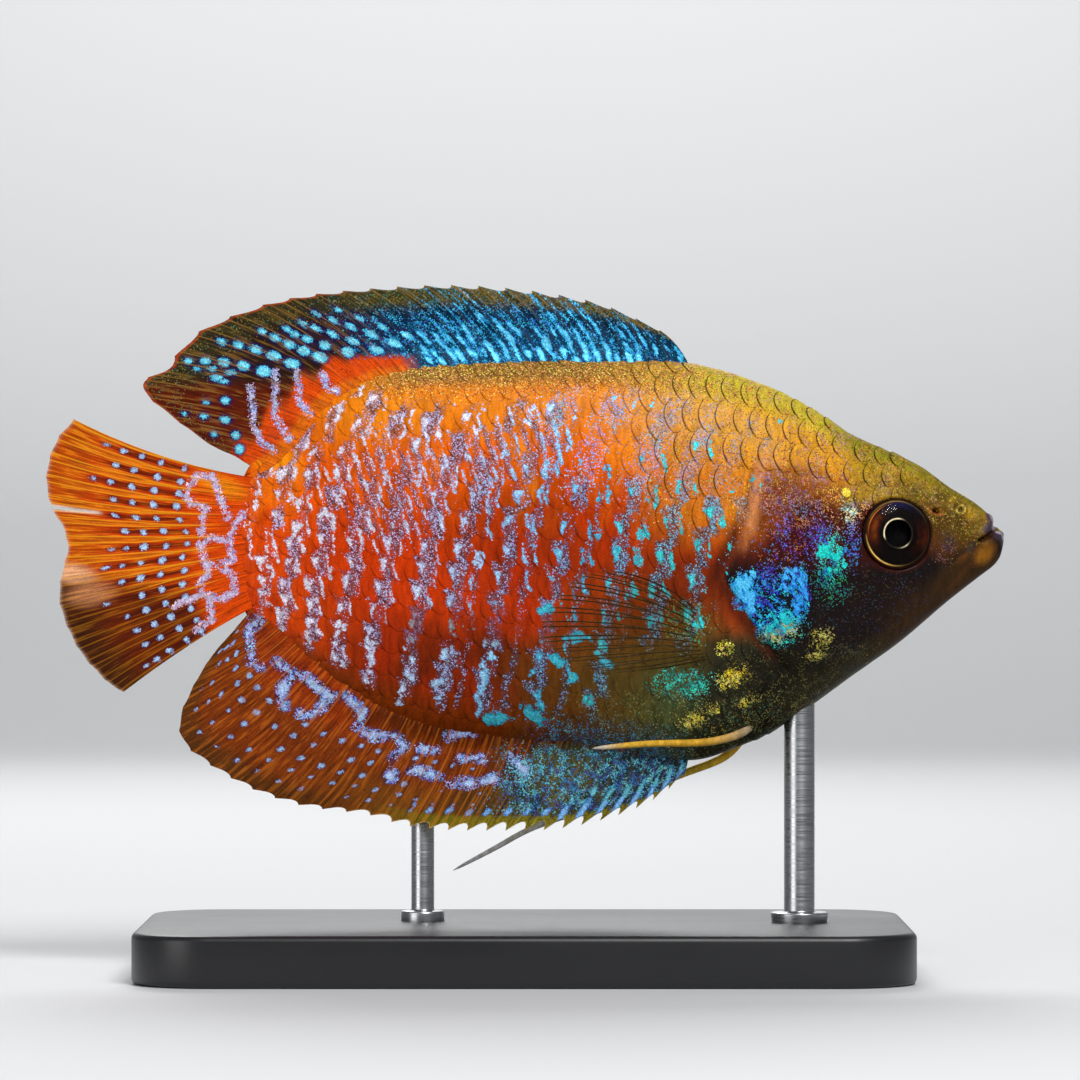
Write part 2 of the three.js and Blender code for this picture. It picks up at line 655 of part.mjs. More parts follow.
// Stand: a flat base and two rods up to the belly
function standBase() {
  const halfLength = STAND_LENGTH / 2 - STAND_BEVEL;
  const halfWide = STAND_WIDTH / 2 - STAND_BEVEL;
  const shape = new THREE.Shape();
  shape.moveTo(-halfLength + STAND_CORNER, -halfWide);
  shape.lineTo(halfLength - STAND_CORNER, -halfWide);
  shape.absarc(halfLength - STAND_CORNER, -halfWide + STAND_CORNER, STAND_CORNER, -Math.PI / 2, 0);
  shape.absarc(halfLength - STAND_CORNER, halfWide - STAND_CORNER, STAND_CORNER, 0, Math.PI / 2);
  shape.absarc(-halfLength + STAND_CORNER, halfWide - STAND_CORNER, STAND_CORNER, Math.PI / 2, Math.PI);
  shape.absarc(-halfLength + STAND_CORNER, -halfWide + STAND_CORNER, STAND_CORNER, Math.PI, 1.5 * Math.PI);
  const geometry = new THREE.ExtrudeGeometry(shape, {
    depth: STAND_THICKNESS - 2 * STAND_BEVEL,
    bevelThickness: STAND_BEVEL,
    bevelSize: STAND_BEVEL,
    bevelSegments: 1,
    curveSegments: 5,
  });
  return solidOf(geometry.translate(0, 0, STAND_BEVEL));
}

function standRod({ x, y, radius, top }) {
  const bottom = STAND_THICKNESS + GAP;
  const height = FISH_LEVEL + top - bottom;
  const geometry = new THREE.CylinderGeometry(radius, radius, height, ROD_SIDES);
  geometry.rotateX(Math.PI / 2);
  geometry.translate(x, y, bottom + height / 2);
  return largest(solidOf(geometry).subtract(clearBody.translate([0, 0, FISH_LEVEL])));
}

addMesh(stand, "stand_base", standBase(), STAND);
addMesh(stand, "stand_rod_front", standRod(ROD_FRONT), STAND);
addMesh(stand, "stand_rod_rear", standRod(ROD_REAR), STAND);

export default root;
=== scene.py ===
"""A grown male dwarf gourami as a still life-size model: skin, scales, fins, eyes and a plain stand."""

import logging
import math
from collections.abc import Callable, Sequence
from dataclasses import dataclass, field
from enum import Enum
from functools import partial

import bpy
import numpy as np
from mathutils import Matrix, Vector


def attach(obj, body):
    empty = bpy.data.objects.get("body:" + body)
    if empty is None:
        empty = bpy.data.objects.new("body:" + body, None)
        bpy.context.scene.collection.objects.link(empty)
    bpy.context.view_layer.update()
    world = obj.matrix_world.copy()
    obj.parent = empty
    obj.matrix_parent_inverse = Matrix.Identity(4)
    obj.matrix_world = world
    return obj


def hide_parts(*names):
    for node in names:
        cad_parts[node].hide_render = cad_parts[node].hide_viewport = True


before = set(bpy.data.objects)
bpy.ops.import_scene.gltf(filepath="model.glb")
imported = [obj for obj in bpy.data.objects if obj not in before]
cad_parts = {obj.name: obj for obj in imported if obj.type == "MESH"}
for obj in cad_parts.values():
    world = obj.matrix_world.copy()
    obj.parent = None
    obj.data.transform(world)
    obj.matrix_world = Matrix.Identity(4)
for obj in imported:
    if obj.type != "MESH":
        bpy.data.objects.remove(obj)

LOG = logging.getLogger("gourami")
MM = 0.001
ROOT = "root"

# Height of the fish's own zero level, halfway between snout and tail, above the underside of the base
FISH_LEVEL = 33.9
SNOUT_X = 37.5
BODY_LENGTH = 60.0
# Depth that stands for a place outside every patch, in mm
OUTSIDE = -1.0

Points = Sequence[tuple[float, float]]
Array = np.ndarray
Piece = bpy.types.Object


class Side(Enum):
    """The two sides of the fish, with the sign of Y that each one faces."""

    RIGHT = -1
    LEFT = 1


class Part(Enum):
    """The parts of a mesh that are selected in code."""

    EDGE = "edges"
    FACE = "polygons"


def linear(code: str) -> tuple[float, float, float]:
    """Turns an sRGB hex colour, such as "E8480A", into red, green and blue in linear light."""
    parts = [int(code[i:i + 2], 16) / 255 for i in (0, 2, 4)]
    return tuple(c / 12.92 if c <= 0.04045 else ((c + 0.055) / 1.055) ** 2.4 for c in parts)


def shades(codes: str) -> Array:
    """Turns sRGB hex colours with spaces between them into rows of linear colour."""
    return np.array([linear(code) for code in codes.split()])


def smooth(low: float, high: float, value: Array) -> Array:
    """Rises softly from 0 at low to 1 at high, where high may be below low."""
    t = np.clip((value - low) / (high - low), 0, 1)
    return t * t * (3 - 2 * t)


def bell(offset: Array, width: float, power: int = 2) -> Array:
    """Falls softly from 1 at no offset to 0.37 at an offset of one width."""
    return np.exp(-((offset / width) ** power))


def chance(*keys: Array | float) -> Array:
    """Gives each set of whole numbers, such as a row and a column, its own fixed draw from 0 to 1."""
    total = sum(np.asarray(k, float) * w for k, w in zip(keys, (12.9898, 78.233, 37.719, 9.151)))
    return np.abs(np.sin(total) * 43758.5453) % 1


def table_value(table: Array, i: Array, j: Array) -> Array:
    """Reads a table at places that may lie between its entries.

    Args:
        table: the numbers.
        i: row of each place.
        j: column of each place.

    Returns:
        The numbers there.
    """
    i, j = (np.clip(k, 0, count - 1 - 1e-6) for k, count in zip((i, j), table.shape))
    i0, j0 = i.astype(int), j.astype(int)
    fi, fj = i - i0, j - j0
    return ((1 - fi) * ((1 - fj) * table[i0, j0] + fj * table[i0, j0 + 1])
            + fi * ((1 - fj) * table[i0 + 1, j0] + fj * table[i0 + 1, j0 + 1]))


def path_distance(x: Array, z: Array, *path: tuple[float, float]) -> Array:
    """Measures how far points in the side view lie from an open line.

    Args:
        x: places along the fish.
        z: heights.
        path: corners of the line.

    Returns:
        Distances in the unit of the points.
    """
    best = np.full(np.shape(x), np.inf)
    for (ax, az), (bx, bz) in zip(path, path[1:]):
        dx, dz = bx - ax, bz - az
        t = np.clip(((x - ax) * dx + (z - az) * dz) / (dx * dx + dz * dz), 0, 1)
        best = np.minimum(best, np.hypot(x - ax - t * dx, z - az - t * dz))
    return best


def run_along(points: Array) -> Array:
    """Measures the way along a line of points to each of them."""
    return np.concatenate([[0], np.cumsum(np.linalg.norm(np.diff(points, axis=0), axis=1))])


def columns_at(places: Array, known: Array, rows: Array) -> Array:
    """Reads each column of rows between the known places, as one row for each place."""
    return np.stack([np.interp(places, known, column) for column in rows.T], axis=1)


def smooth_path(points: Sequence[Sequence[float]], count: int) -> Array:
    """Draws an even, smooth curve through points.

    Args:
        points: places that the curve passes.
        count: points wanted on the curve.

    Returns:
        One row for each point, spaced evenly along the curve.
    """
    knots = np.asarray(points, float)
    padded = np.vstack([2 * knots[0] - knots[1], knots, 2 * knots[-1] - knots[-2]])
    fine = []
    for p0, p1, p2, p3 in zip(padded, padded[1:], padded[2:], padded[3:]):
        d01, d12, d23 = (max(np.linalg.norm(b - a), 1e-6) ** 0.5 for a, b in ((p0, p1), (p1, p2), (p2, p3)))
        m1 = (p2 - p1) + d12 * ((p1 - p0) / d01 - (p2 - p0) / (d01 + d12))
        m2 = (p2 - p1) + d12 * ((p3 - p2) / d23 - (p3 - p1) / (d12 + d23))
        t = np.linspace(0, 1, 24, endpoint=False)[:, None]
        fine.append((2 * t**3 - 3 * t**2 + 1) * p1 + (t**3 - 2 * t**2 + t) * m1
                    + (3 * t**2 - 2 * t**3) * p2 + (t**3 - t**2) * m2)
    fine = np.vstack([*fine, knots[-1:]])
    run = run_along(fine)
    return columns_at(np.linspace(0, run[-1], count), run, fine)


@dataclass(frozen=True)
class Profile:
    """A smooth curve of one size against another that never overshoots its points."""

    points: Points

    def at(self, place: Array) -> Array:
        """Reads the curve.

        Args:
            place: where to read it.

        Returns:
            The size there.
        """
        x, y = np.array(self.points, float).T
        slope = np.diff(y) / np.diff(x)
        joint = slope[:-1] * slope[1:]
        total = np.where(joint > 0, slope[:-1] + slope[1:], 1)
        inner = np.where(joint > 0, 2 * joint / total, 0)
        tangent = np.concatenate([slope[:1], inner, slope[-1:]])
        place = np.clip(place, x[0], x[-1])
        i = np.clip(np.searchsorted(x, place, side="right") - 1, 0, len(x) - 2)
        h = x[i + 1] - x[i]
        t = (place - x[i]) / h
        return ((1 + 2 * t) * (1 - t) ** 2 * y[i] + t * (1 - t) ** 2 * h * tangent[i]
                + t * t * (3 - 2 * t) * y[i + 1] + t * t * (t - 1) * h * tangent[i + 1])


# Geometry helpers

def deselect() -> None:
    """Leaves nothing selected, in object mode."""
    bpy.ops.object.select_all(action="DESELECT")


def activate(piece: Piece) -> None:
    """Selects a piece alone, for the next operator.

    Args:
        piece: what is selected.
    """
    deselect()
    piece.select_set(True)
    bpy.context.view_layer.objects.active = piece


def start_piece(name: str) -> Piece:
    """Names the primitive that was just added, and hands it over.

    Args:
        name: name of the piece and its mesh.

    Returns:
        The new piece.
    """
    piece = bpy.context.object
    piece.name = name
    piece.data.name = name
    return piece


def grid_sheet(name: str, across: int, along: int) -> tuple[Piece, Array, Array]:
    """Adds a flat grid to be shaped.

    Args:
        name: name of the piece.
        across: cells from one side to the other.
        along: cells from root to tip.

    Returns:
        The piece, and each vertex's share across and along, from 0 to 1.
    """
    deselect()
    bpy.ops.mesh.primitive_grid_add(x_subdivisions=across, y_subdivisions=along, size=2)
    piece = start_piece(name)
    flat = read_vertices(piece.data)
    return piece, (flat[:, 0] + 1) / 2, (flat[:, 1] + 1) / 2


def read_vertices(mesh: bpy.types.Mesh) -> Array:
    """Reads a mesh's points.

    Args:
        mesh: what is read.

    Returns:
        One row for each vertex, in metres.
    """
    co = np.empty(len(mesh.vertices) * 3, np.float32)
    mesh.vertices.foreach_get("co", co)
    return co.reshape(-1, 3).astype(float)


def write_vertices(mesh: bpy.types.Mesh, points: Array) -> None:
    """Moves a mesh's vertices to new points."""
    mesh.vertices.foreach_set("co", np.asarray(points, np.float32).ravel())
    mesh.update()


def write_attribute(mesh: bpy.types.Mesh, name: str, kind: str, socket: str, values: Array) -> None:
    """Stores one value for each vertex.

    Args:
        mesh: where they are stored.
        name: name of the attribute.
        kind: its type, as Blender names it.
        socket: the property that holds one value of that type.
        values: a number or a row for each vertex.
    """
    layer = mesh.attributes.new(name, kind, "POINT")
    layer.data.foreach_set(socket, np.asarray(values, np.float32).ravel())


def mesh_piece(name: str, points: Array, faces: list[list[int]]) -> Piece:
    """Makes a piece out of points and faces.

    Args:
        name: name of the piece.
        points: one row for each vertex, in metres.
        faces: corner numbers of each face.

    Returns:
        The piece, linked into the scene.
    """
    mesh = bpy.data.meshes.new(name)
    mesh.from_pydata(points.tolist(), [], faces)
    mesh.update()
    piece = bpy.data.objects.new(name, mesh)
    bpy.context.scene.collection.objects.link(piece)
    return piece


def apply_modifiers(piece: Piece) -> None:
    """Applies every modifier of a piece in order.

    Args:
        piece: the piece that carries them.
    """
    activate(piece)
    for modifier in list(piece.modifiers):
        bpy.ops.object.modifier_apply(modifier=modifier.name)


def shade_smooth(piece: Piece, angle: float = 180) -> None:
    """Shades a piece smooth, except over edges sharper than an angle in degrees."""
    activate(piece)
    bpy.ops.object.shade_smooth_by_angle(angle=math.radians(angle))


def settle(piece: Piece) -> None:
    """Puts a piece's place into its mesh, so that its object stands at the origin."""
    activate(piece)
    bpy.ops.object.transform_apply(location=True, rotation=True, scale=True)


def face_outward(piece: Piece, merge: float = 0) -> None:
    """Turns every face of a closed piece outward.

    Args:
        piece: the closed piece.
        merge: corners closer than this, in metres, are merged first.
    """
    activate(piece)
    bpy.ops.object.mode_set(mode="EDIT")
    bpy.ops.mesh.select_all(action="SELECT")
    if merge:
        bpy.ops.mesh.remove_doubles(threshold=merge)
    bpy.ops.mesh.normals_make_consistent(inside=False)
    bpy.ops.object.mode_set(mode="OBJECT")


def pick(piece: Piece, part: Part, chosen: Callable[[object], bool]) -> None:
    """Opens a piece in edit mode with some of its edges or faces selected.

    Args:
        piece: the active piece.
        part: what is selected.
        chosen: tells whether one edge or face is.
    """
    bpy.ops.object.mode_set(mode="EDIT")
    bpy.ops.mesh.select_all(action="DESELECT")
    bpy.ops.object.mode_set(mode="OBJECT")
    for item in getattr(piece.data, part.value):
        item.select = bool(chosen(item))
    bpy.ops.object.mode_set(mode="EDIT")
    bpy.ops.mesh.select_mode(type=part.name)


# Materials

def add_node(tree: bpy.types.NodeTree, kind: str, inputs: dict | None = None,
             **settings: object) -> bpy.types.Node:
    """Adds a node with its settings, values and links.

    Args:
        tree: the material's node tree.
        kind: type name of the node, without its ShaderNode prefix.
        inputs: socket name or number to a value, or to a socket or node that is linked into it. A Mix node
            gives its colour, every other node its first output.
        settings: properties of the node.

    Returns:
        The node.
    """
    node = tree.nodes.new("ShaderNode" + kind)
    for key, value in settings.items():
        setattr(node, key, value)
    for key, value in (inputs or {}).items():
        if isinstance(value, bpy.types.Node):
            value = value.outputs[2 if value.bl_idname == "ShaderNodeMix" else 0]
        if isinstance(value, bpy.types.NodeSocket):
            tree.links.new(value, node.inputs[key])
        else:
            node.inputs[key].default_value = value
    return node


def new_material(name: str) -> tuple[bpy.types.Material, Callable[..., bpy.types.Node]]:
    """Starts an empty material.

    Args:
        name: name of the material.

    Returns:
        The material, and add_node for its tree.
    """
    material = bpy.data.materials.new(name)
    material.use_nodes = True
    material.node_tree.nodes.clear()
    return material, partial(add_node, material.node_tree)


def opaque(code: str) -> tuple[float, float, float, float]:
    """Turns an sRGB hex colour into a colour socket's value."""
    return (*linear(code), 1)


@dataclass(frozen=True)
class LivingSkin:
    """Wet fish skin or fin membrane: pigment under a thin gloss, with grains and patches of mirror cells.

    The colours come from the piece's own attributes. Each grain is one pigment or mirror cell group, drawn
    coarser than life so that it shows.
    """

    name: str
    line_colour: str = "1C140A"
    dark_colour: str = "2A1620"
    grain: float = 0.085
    ragged: float = 0.3
    fray: float = 0.4
    fibres: float = 0
    rough: float = 0.42
    gloss: float = 0.07
    coat: float = 0.04
    bump: float = 0.2
    clear: float = 1.0
    ior: float = 1.36
    cloud: float = 0.9

    def make(self) -> bpy.types.Material:
        """Builds the material.

        Returns:
            The material.
        """
        material, node = new_material(self.name)
        place = node("TexCoord").outputs["Object"]
        labels = ("base", "fleck", "glint", "trim")
        base, fleck, glint, trim = (node("Attribute", attribute_name=label) for label in labels)
        line_depth, dark_share, line_strength = node("SeparateXYZ", {0: trim.outputs["Vector"]}).outputs
        cells = node("TexVoronoi", {"Vector": place, "Scale": 1 / (self.grain * MM)})
        first, second, third = node("SeparateColor", {0: cells.outputs["Color"]}).outputs
        # Pigment lies in soft streaks and clouds about half a millimetre wide
        if self.fibres:
            run = node("Attribute", attribute_name="strand")
            strand = node("Mapping", {"Vector": run.outputs["Vector"], "Scale": (self.fibres, 0.4, 1)})
            scale, low, high = 1.0, 0.5, 1.5
        else:
            strand = node("Mapping", {"Vector": place, "Scale": (2.2, 1.0, 0.6)})
            scale, low, high = 1 / (self.cloud * MM), 0.72, 1.2
        cloud = node("TexNoise", {"Vector": strand, "Scale": scale, "Detail": 4.0})
        tooth = node("MapRange", {0: second, 3: 0.84, 4: 1.14})
        streak = node("MapRange", {0: cloud, 1: 0.3, 2: 0.7, 3: low, 4: high})
        shade = node("Math", {0: tooth, 1: streak}, operation="MULTIPLY")
        body = node("Mix", {0: 1.0, 6: base, 7: shade}, data_type="RGBA", blend_type="MULTIPLY")
        # Single grains: bright where the draw is below the density, dark where it is near the top
        lit = node("Math", {0: first, 1: fleck.outputs["Alpha"]}, operation="LESS_THAN")
        hue = node("MapRange", {0: second, 3: 0.435, 4: 0.555})
        value = node("MapRange", {0: third, 3: 0.4, 4: 1.5})
        spark = node("HueSaturation", {0: hue, 2: value, 4: fleck})
        flecked = node("Mix", {0: lit, 6: body, 7: spark}, data_type="RGBA")
        night = node("Math", {0: 1.0, 1: dark_share}, operation="SUBTRACT")
        dark = node("Math", {0: first, 1: night}, operation="GREATER_THAN")
        stain = node("Math", {0: dark, 1: 0.6}, operation="MULTIPLY")
        spotted = node("Mix", {0: stain, 6: flecked, 7: opaque(self.dark_colour)}, data_type="RGBA")
        # Solid patches, whose edge is ragged by whole cells
        wear = node("TexNoise", {"Vector": place, "Scale": 1 / (self.ragged * MM), "Detail": 3.0})
        torn = node("Math", {0: wear, 1: self.fray, 2: glint.outputs["Alpha"]}, operation="MULTIPLY_ADD")
        grainy = node("Math", {0: first, 1: 0.13, 2: torn}, operation="MULTIPLY_ADD")
        rim = 0.045 + self.fray / 2
        patch = node("MapRange", {0: grainy, 1: rim, 2: rim + 0.035})
        # Mirror cells lie thinner towards the edge of a patch, where they turn bluer and darker
        core = node("MapRange", {0: grainy, 1: rim + 0.015, 2: rim + 0.175})
        edge = node("HueSaturation", {0: 0.53, 1: 1.25, 2: 0.66, 4: glint})
        plate = node("Mix", {0: core, 6: edge, 7: glint}, data_type="RGBA")
        bright = node("MapRange", {0: third, 3: 0.52, 4: 1.34})
        mirror = node("HueSaturation", {2: bright, 4: plate})
        marked = node("Mix", {0: patch, 6: spotted, 7: mirror}, data_type="RGBA")
        # Fine lines: scale rims on the body, rays in the fins
        drawn = node("MapRange", {0: line_depth, 1: -0.03, 2: 0.03})
        if self.fibres:
            hair = node("MapRange", {0: cloud, 1: 0.53, 2: 0.66, 4: 0.7})
            drawn = node("Math", {0: drawn, 1: hair}, operation="MAXIMUM")
        line = node("Math", {0: drawn, 1: line_strength}, operation="MULTIPLY")
        inputs = {
            "Base Color": node("Mix", {0: line, 6: marked, 7: opaque(self.line_colour)}, data_type="RGBA"),
            "Metallic": node("Math", {0: patch, 1: 0.25}, operation="MULTIPLY"),
            "Roughness": self.rough, "IOR": self.ior, "Specular IOR Level": self.gloss,
            "Coat Weight": self.coat, "Coat Roughness": 0.2}
        if self.bump:
            relief = node("Math", {0: cells, 1: 0.4, 2: cloud}, operation="MULTIPLY_ADD")
            inputs["Normal"] = node("Bump", {"Strength": self.bump, "Distance": 0.04 * MM, "Height": relief})
        if self.clear < 1:
            inputs["Alpha"] = node("MapRange", {0: line, 3: self.clear, 4: 0.9})
        node("OutputMaterial", {"Surface": node("BsdfPrincipled", inputs)})
        return material


@dataclass
class Paint:
    """Colours and marks of a surface, a value for each vertex, laid one after another as with an airbrush."""

    x: Array
    z: Array
    base: Array = field(init=False)
    fleck: Array = field(init=False)
    glint: Array = field(init=False)
    trim: Array = field(init=False)

    def __post_init__(self) -> None:
        """Starts with no grains, no patches and no lines."""
        self.base, self.fleck, self.glint, self.trim = (
            np.tile(row, (len(self.x), 1)).astype(float)
            for row in ((0, 0, 0, 1), (0, 0, 0, 0), (0, 0, 0, OUTSIDE), (OUTSIDE, 0, 0)))

    def tone(self, colour: str, weight: Array | float) -> None:
        """Lays a colour over the base: mostly pigment, in places painted shade and highlight.

        Args:
            colour: sRGB hex of the colour.
            weight: cover from 0 to 1 at each vertex.
        """
        w = np.clip(np.broadcast_to(weight, self.x.shape), 0, 1)[:, None]
        self.base[:, :3] += (np.array(linear(colour)) - self.base[:, :3]) * w

    def ovals(self, within: Array | float, *spots: tuple) -> None:
        """Lays soft ovals of colour one after the other: pigment, and on the head also painted shade.

        Args:
            within: cover that limits them all.
            spots: sRGB hex and cover of each, then its place as in spot.
        """
        for colour, cover, *place in spots:
            self.tone(colour, self.spot(*place) * within * cover)

    def grains(self, colour: str | Array, density: Array | float) -> None:
        """Scatters bright grains, which take the place of those already there by their share.

        Args:
            colour: sRGB hex of the grains, or a row of linear colour for each vertex.
            density: share of the surface that they cover at each vertex.
        """
        tint = np.array(linear(colour)) if isinstance(colour, str) else colour
        d = np.clip(np.broadcast_to(density, self.x.shape), 0, 1)
        share = (d / np.maximum(d + self.fleck[:, 3] * (1 - d), 1e-6))[:, None]
        self.fleck[:, :3] += (tint - self.fleck[:, :3]) * share
        self.fleck[:, 3] = 1 - (1 - self.fleck[:, 3]) * (1 - d)

    def mixed(self, colours: str, density: Array | float, size: float, key: int) -> None:
        """Scatters grains of several colours, in clumps of one colour each.

        Args:
            colours: sRGB hex of each colour, with spaces between them.
            density: share of the surface covered.
            size: distance between clumps in mm.
            key: picks the pattern.
        """
        tints = shades(colours)
        which = np.clip((self.cloud(size, key) - 0.5) * 1.7 + 0.5, 0, 0.999)
        tints = tints[(which * len(tints)).astype(int)]
        self.grains(tints, density * (0.3 + smooth(0.25, 0.75, self.cloud(size * 0.8, key + 1))))

    def darken(self, density: Array) -> None:
        """Scatters dark grains over a share of the surface."""
        self.trim[:, 1] = np.maximum(self.trim[:, 1], density)

    def patches(self, colour: str | Array, inside: Array, where: Array | bool = True) -> None:
        """Adds solid bright patches.

        Args:
            colour: sRGB hex, or a row of linear colour for each vertex.
            inside: how deep each vertex lies inside a patch, in mm, negative outside.
            where: the vertices that patches may cover.
        """
        inside = np.where(where, inside, OUTSIDE)
        tints = np.broadcast_to(linear(colour) if isinstance(colour, str) else colour, (len(self.x), 3))
        wins = inside > self.glint[:, 3]
        self.glint[wins, :3] = tints[wins]
        self.glint[:, 3] = np.maximum(self.glint[:, 3], inside)

    def cloud(self, size: float, key: int, tall: float = 1) -> Array:
        """Gives soft random clumps of one size.

        Args:
            size: distance between clumps in mm.
            key: picks the pattern.
            tall: height of a clump against its length.

        Returns:
            Numbers from 0 to 1.
        """
        gx, gz = self.x / size, self.z / size / tall
        gx, gz = gx + 0.45 * np.sin(1.9 * gz + key), gz + 0.45 * np.sin(2.3 * gx + 2 * key)
        fx, fz = np.floor(gx), np.floor(gz)
        tx, tz = smooth(0, 1, gx - fx), smooth(0, 1, gz - fz)
        low = chance(fx, fz, key) * (1 - tx) + chance(fx + 1, fz, key) * tx
        high = chance(fx, fz + 1, key) * (1 - tx) + chance(fx + 1, fz + 1, key) * tx
        return low * (1 - tz) + high * tz

    def waver(self, swing: float, size: float, key: int) -> Array:
        """Gives a cloud's numbers around 0, with a swing of so much from lowest to highest."""
        return swing * (self.cloud(size, key) - 0.5)

    def net(self, *paths: Points) -> Array:
        """Measures the distance from a net of lines in mm."""
        return np.minimum.reduce([path_distance(self.x, self.z, *path) for path in paths])

    def reach(self, x: float, z: float, wide: float, high: float, lean: float = 0) -> Array:
        """Measures from the centre of an oval in the side view.

        Args:
            x: its centre along the fish in mm.
            z: its centre's height in mm.
            wide: half its length before it leans.
            high: half its height.
            lean: turn in degrees, rising towards the snout.

        Returns:
            0 at its centre, 1 at its edge.
        """
        a = math.radians(lean)
        dx, dz = self.x - x, self.z - z
        along, aside = dx * math.cos(a) + dz * math.sin(a), dz * math.cos(a) - dx * math.sin(a)
        return np.hypot(along / wide, aside / high)

    def spot(self, *place: float) -> Array:
        """Falls softly from 1 at an oval's centre to 0 at its edge. The place is that of reach."""
        return smooth(1, 0.25, self.reach(*place))

    def depth(self, *place: float) -> Array:
        """Tells how deep vertices lie in an oval, in mm. The place is that of reach."""
        return (1 - self.reach(*place)) * min(place[2:4])

    def store(self, mesh: bpy.types.Mesh) -> None:
        """Writes the paint to a mesh as attributes that the skin material reads.

        Args:
            mesh: the mesh whose vertices were painted.
        """
        for name in ("base", "fleck", "glint"):
            write_attribute(mesh, name, "FLOAT_COLOR", "color", getattr(self, name))
        write_attribute(mesh, "trim", "FLOAT_VECTOR", "vector", self.trim)


@dataclass
class BodyForm:
    """The body's shape in mm, as stations behind the snout, with its relief and its scale rows."""

    back: Profile = Profile((
        (0, 0), (0.23, 0.6), (0.7, 1.3), (1.2, 2.05), (2, 2.8), (4.3, 4.25), (6.6, 5.9), (9.75, 7.35),
        (12.1, 8.45), (15.2, 10.4), (18.3, 12.05), (24.4, 13.8), (31.6, 14.15), (44.9, 13.9), (48.8, 13.4),
        (52.7, 11.5), (55.8, 8.2), (57.7, 6.6), (60, 5.75)))
    belly: Profile = Profile((
        (0, 0), (0.1, -0.6), (0.31, -1.35), (0.86, -2.1), (2, -3), (4.3, -4.8), (8.2, -8.1), (11.3, -10.3),
        (16.8, -14.2), (19.9, -15.9), (24.6, -17.3), (31.2, -16.3), (43.7, -15.1), (47.2, -14.2),
        (51.5, -12.1), (55.8, -8.9), (58.9, -6.6), (60, -6.1)))
    half: Profile = Profile((
        (0, 0), (0.3, 0.62), (1.2, 1.25), (2.5, 1.75), (4.5, 2.4), (7, 3.05), (10, 3.75), (14, 4.6),
        (19, 5.15), (24, 5.3), (30, 5.1), (37, 4.5), (44, 3.65), (50, 2.75), (55, 1.9), (58, 1.2), (60, 0.7)))
    power: Profile = Profile(((0, 0.9), (10, 0.85), (24, 1), (60, 1.1)))
    share: Profile = Profile(((0, 0.5), (10, 0.47), (24, 0.5), (60, 0.5)))
    tail_rounding: float = 1.6
    coat_depth: float = 0.07
    head_edge: Points = (
        (20.3, 16), (19.6, 10.5), (18.2, 7.2), (17.4, 4.4), (17.1, 1.6), (16.3, -0.7), (15.4, -2.9),
        (16.3, -4.4), (17.6, -6.4), (19.4, -8.7), (21, -11.5), (22.4, -18))
    gill_front: Points = ((20.6, 6.6), (21.6, 4), (22, 0), (22, -5), (21.8, -7.8), (21.2, -9.2))
    gill_rise: float = 0.26
    eye: tuple[float, float] = (28.98, 0.5)
    eye_radius: float = 2.78
    nostrils: tuple[tuple[float, float, float], ...] = ((32.1, 2.3, 0.3), (33.95, 2.55, 0.34))
    row_pitch: Profile = Profile((
        (3.5, 1.6), (9, 1.9), (15.5, 2.4), (24.2, 2.65), (27, 2.5), (30.5, 2.46), (35.1, 2.3), (44.9, 1.95),
        (53.5, 1.7), (57.6, 1.3), (60, 1.25)))
    row_zero: Profile = Profile((
        (0, 0.8), (21.5, 1.2), (24.2, 1.1), (26.9, 0.4), (30.5, -0.1), (44.9, -0.06), (53.7, 0),
        (57.6, -0.25), (60, -0.3)))
    stations: int = 240
    fractions: int = 400

    def __post_init__(self) -> None:
        """Measures the way round the body from its widest level at every station."""
        self.grid = np.linspace(0, BODY_LENGTH, self.stations + 1)
        turn = np.linspace(0, math.pi, 2 * self.stations + 1)
        y, z = self.section(*np.meshgrid(self.grid, turn, indexing="ij"))
        step = np.hypot(np.diff(y, axis=1), np.diff(z, axis=1))
        run = np.concatenate([np.zeros((len(self.grid), 1)), np.cumsum(step, axis=1)], axis=1)
        self.ways = run[:, self.stations:self.stations + 1] - run
        self.top_way, self.low_way = self.ways[:, 0], -self.ways[:, -1]
        share = np.linspace(-1, 1, self.fractions + 1)
        self.turns = np.array([np.interp(-share * np.where(share > 0, top, low), -way, turn)
                               for top, low, way in zip(self.top_way, self.low_way, self.ways)])

    def middle(self, s: Array) -> tuple[Array, Array, Array]:
        """Gives the heights of belly line, widest level and back line at distances behind the snout."""
        top, bottom = self.back.at(s), self.belly.at(s)
        return bottom, bottom + (top - bottom) * self.share.at(s), top

    def section(self, s: Array, turn: Array) -> tuple[Array, Array]:
        """Gives points on the plain body without relief.

        Args:
            s: distances behind the snout.
            turn: angles from the back (0) over the left side to the belly (pi), and on over the right side.

        Returns:
            Y and Z of the points.
        """
        bottom, middle, top = self.middle(s)
        closed = 1 - np.clip((BODY_LENGTH - s) / self.tail_rounding, 0, 1)
        shrink = np.sqrt(np.clip(1 - closed**2, 0, 1))
        cosine, sine = np.cos(turn), np.sin(turn)
        z = middle + cosine * np.where(cosine > 0, top - middle, middle - bottom) * (0.25 + 0.75 * shrink)
        y = np.sign(sine) * np.abs(sine) ** self.power.at(s) * self.half.at(s) * shrink
        return y, z

    def point(self, s: Array, turn: Array) -> Array:
        """Gives points on the plain body as rows of X, Y and Z. The arguments are those of section."""
        y, z = self.section(s, turn)
        return np.stack([SNOUT_X - s, y, z], axis=-1)

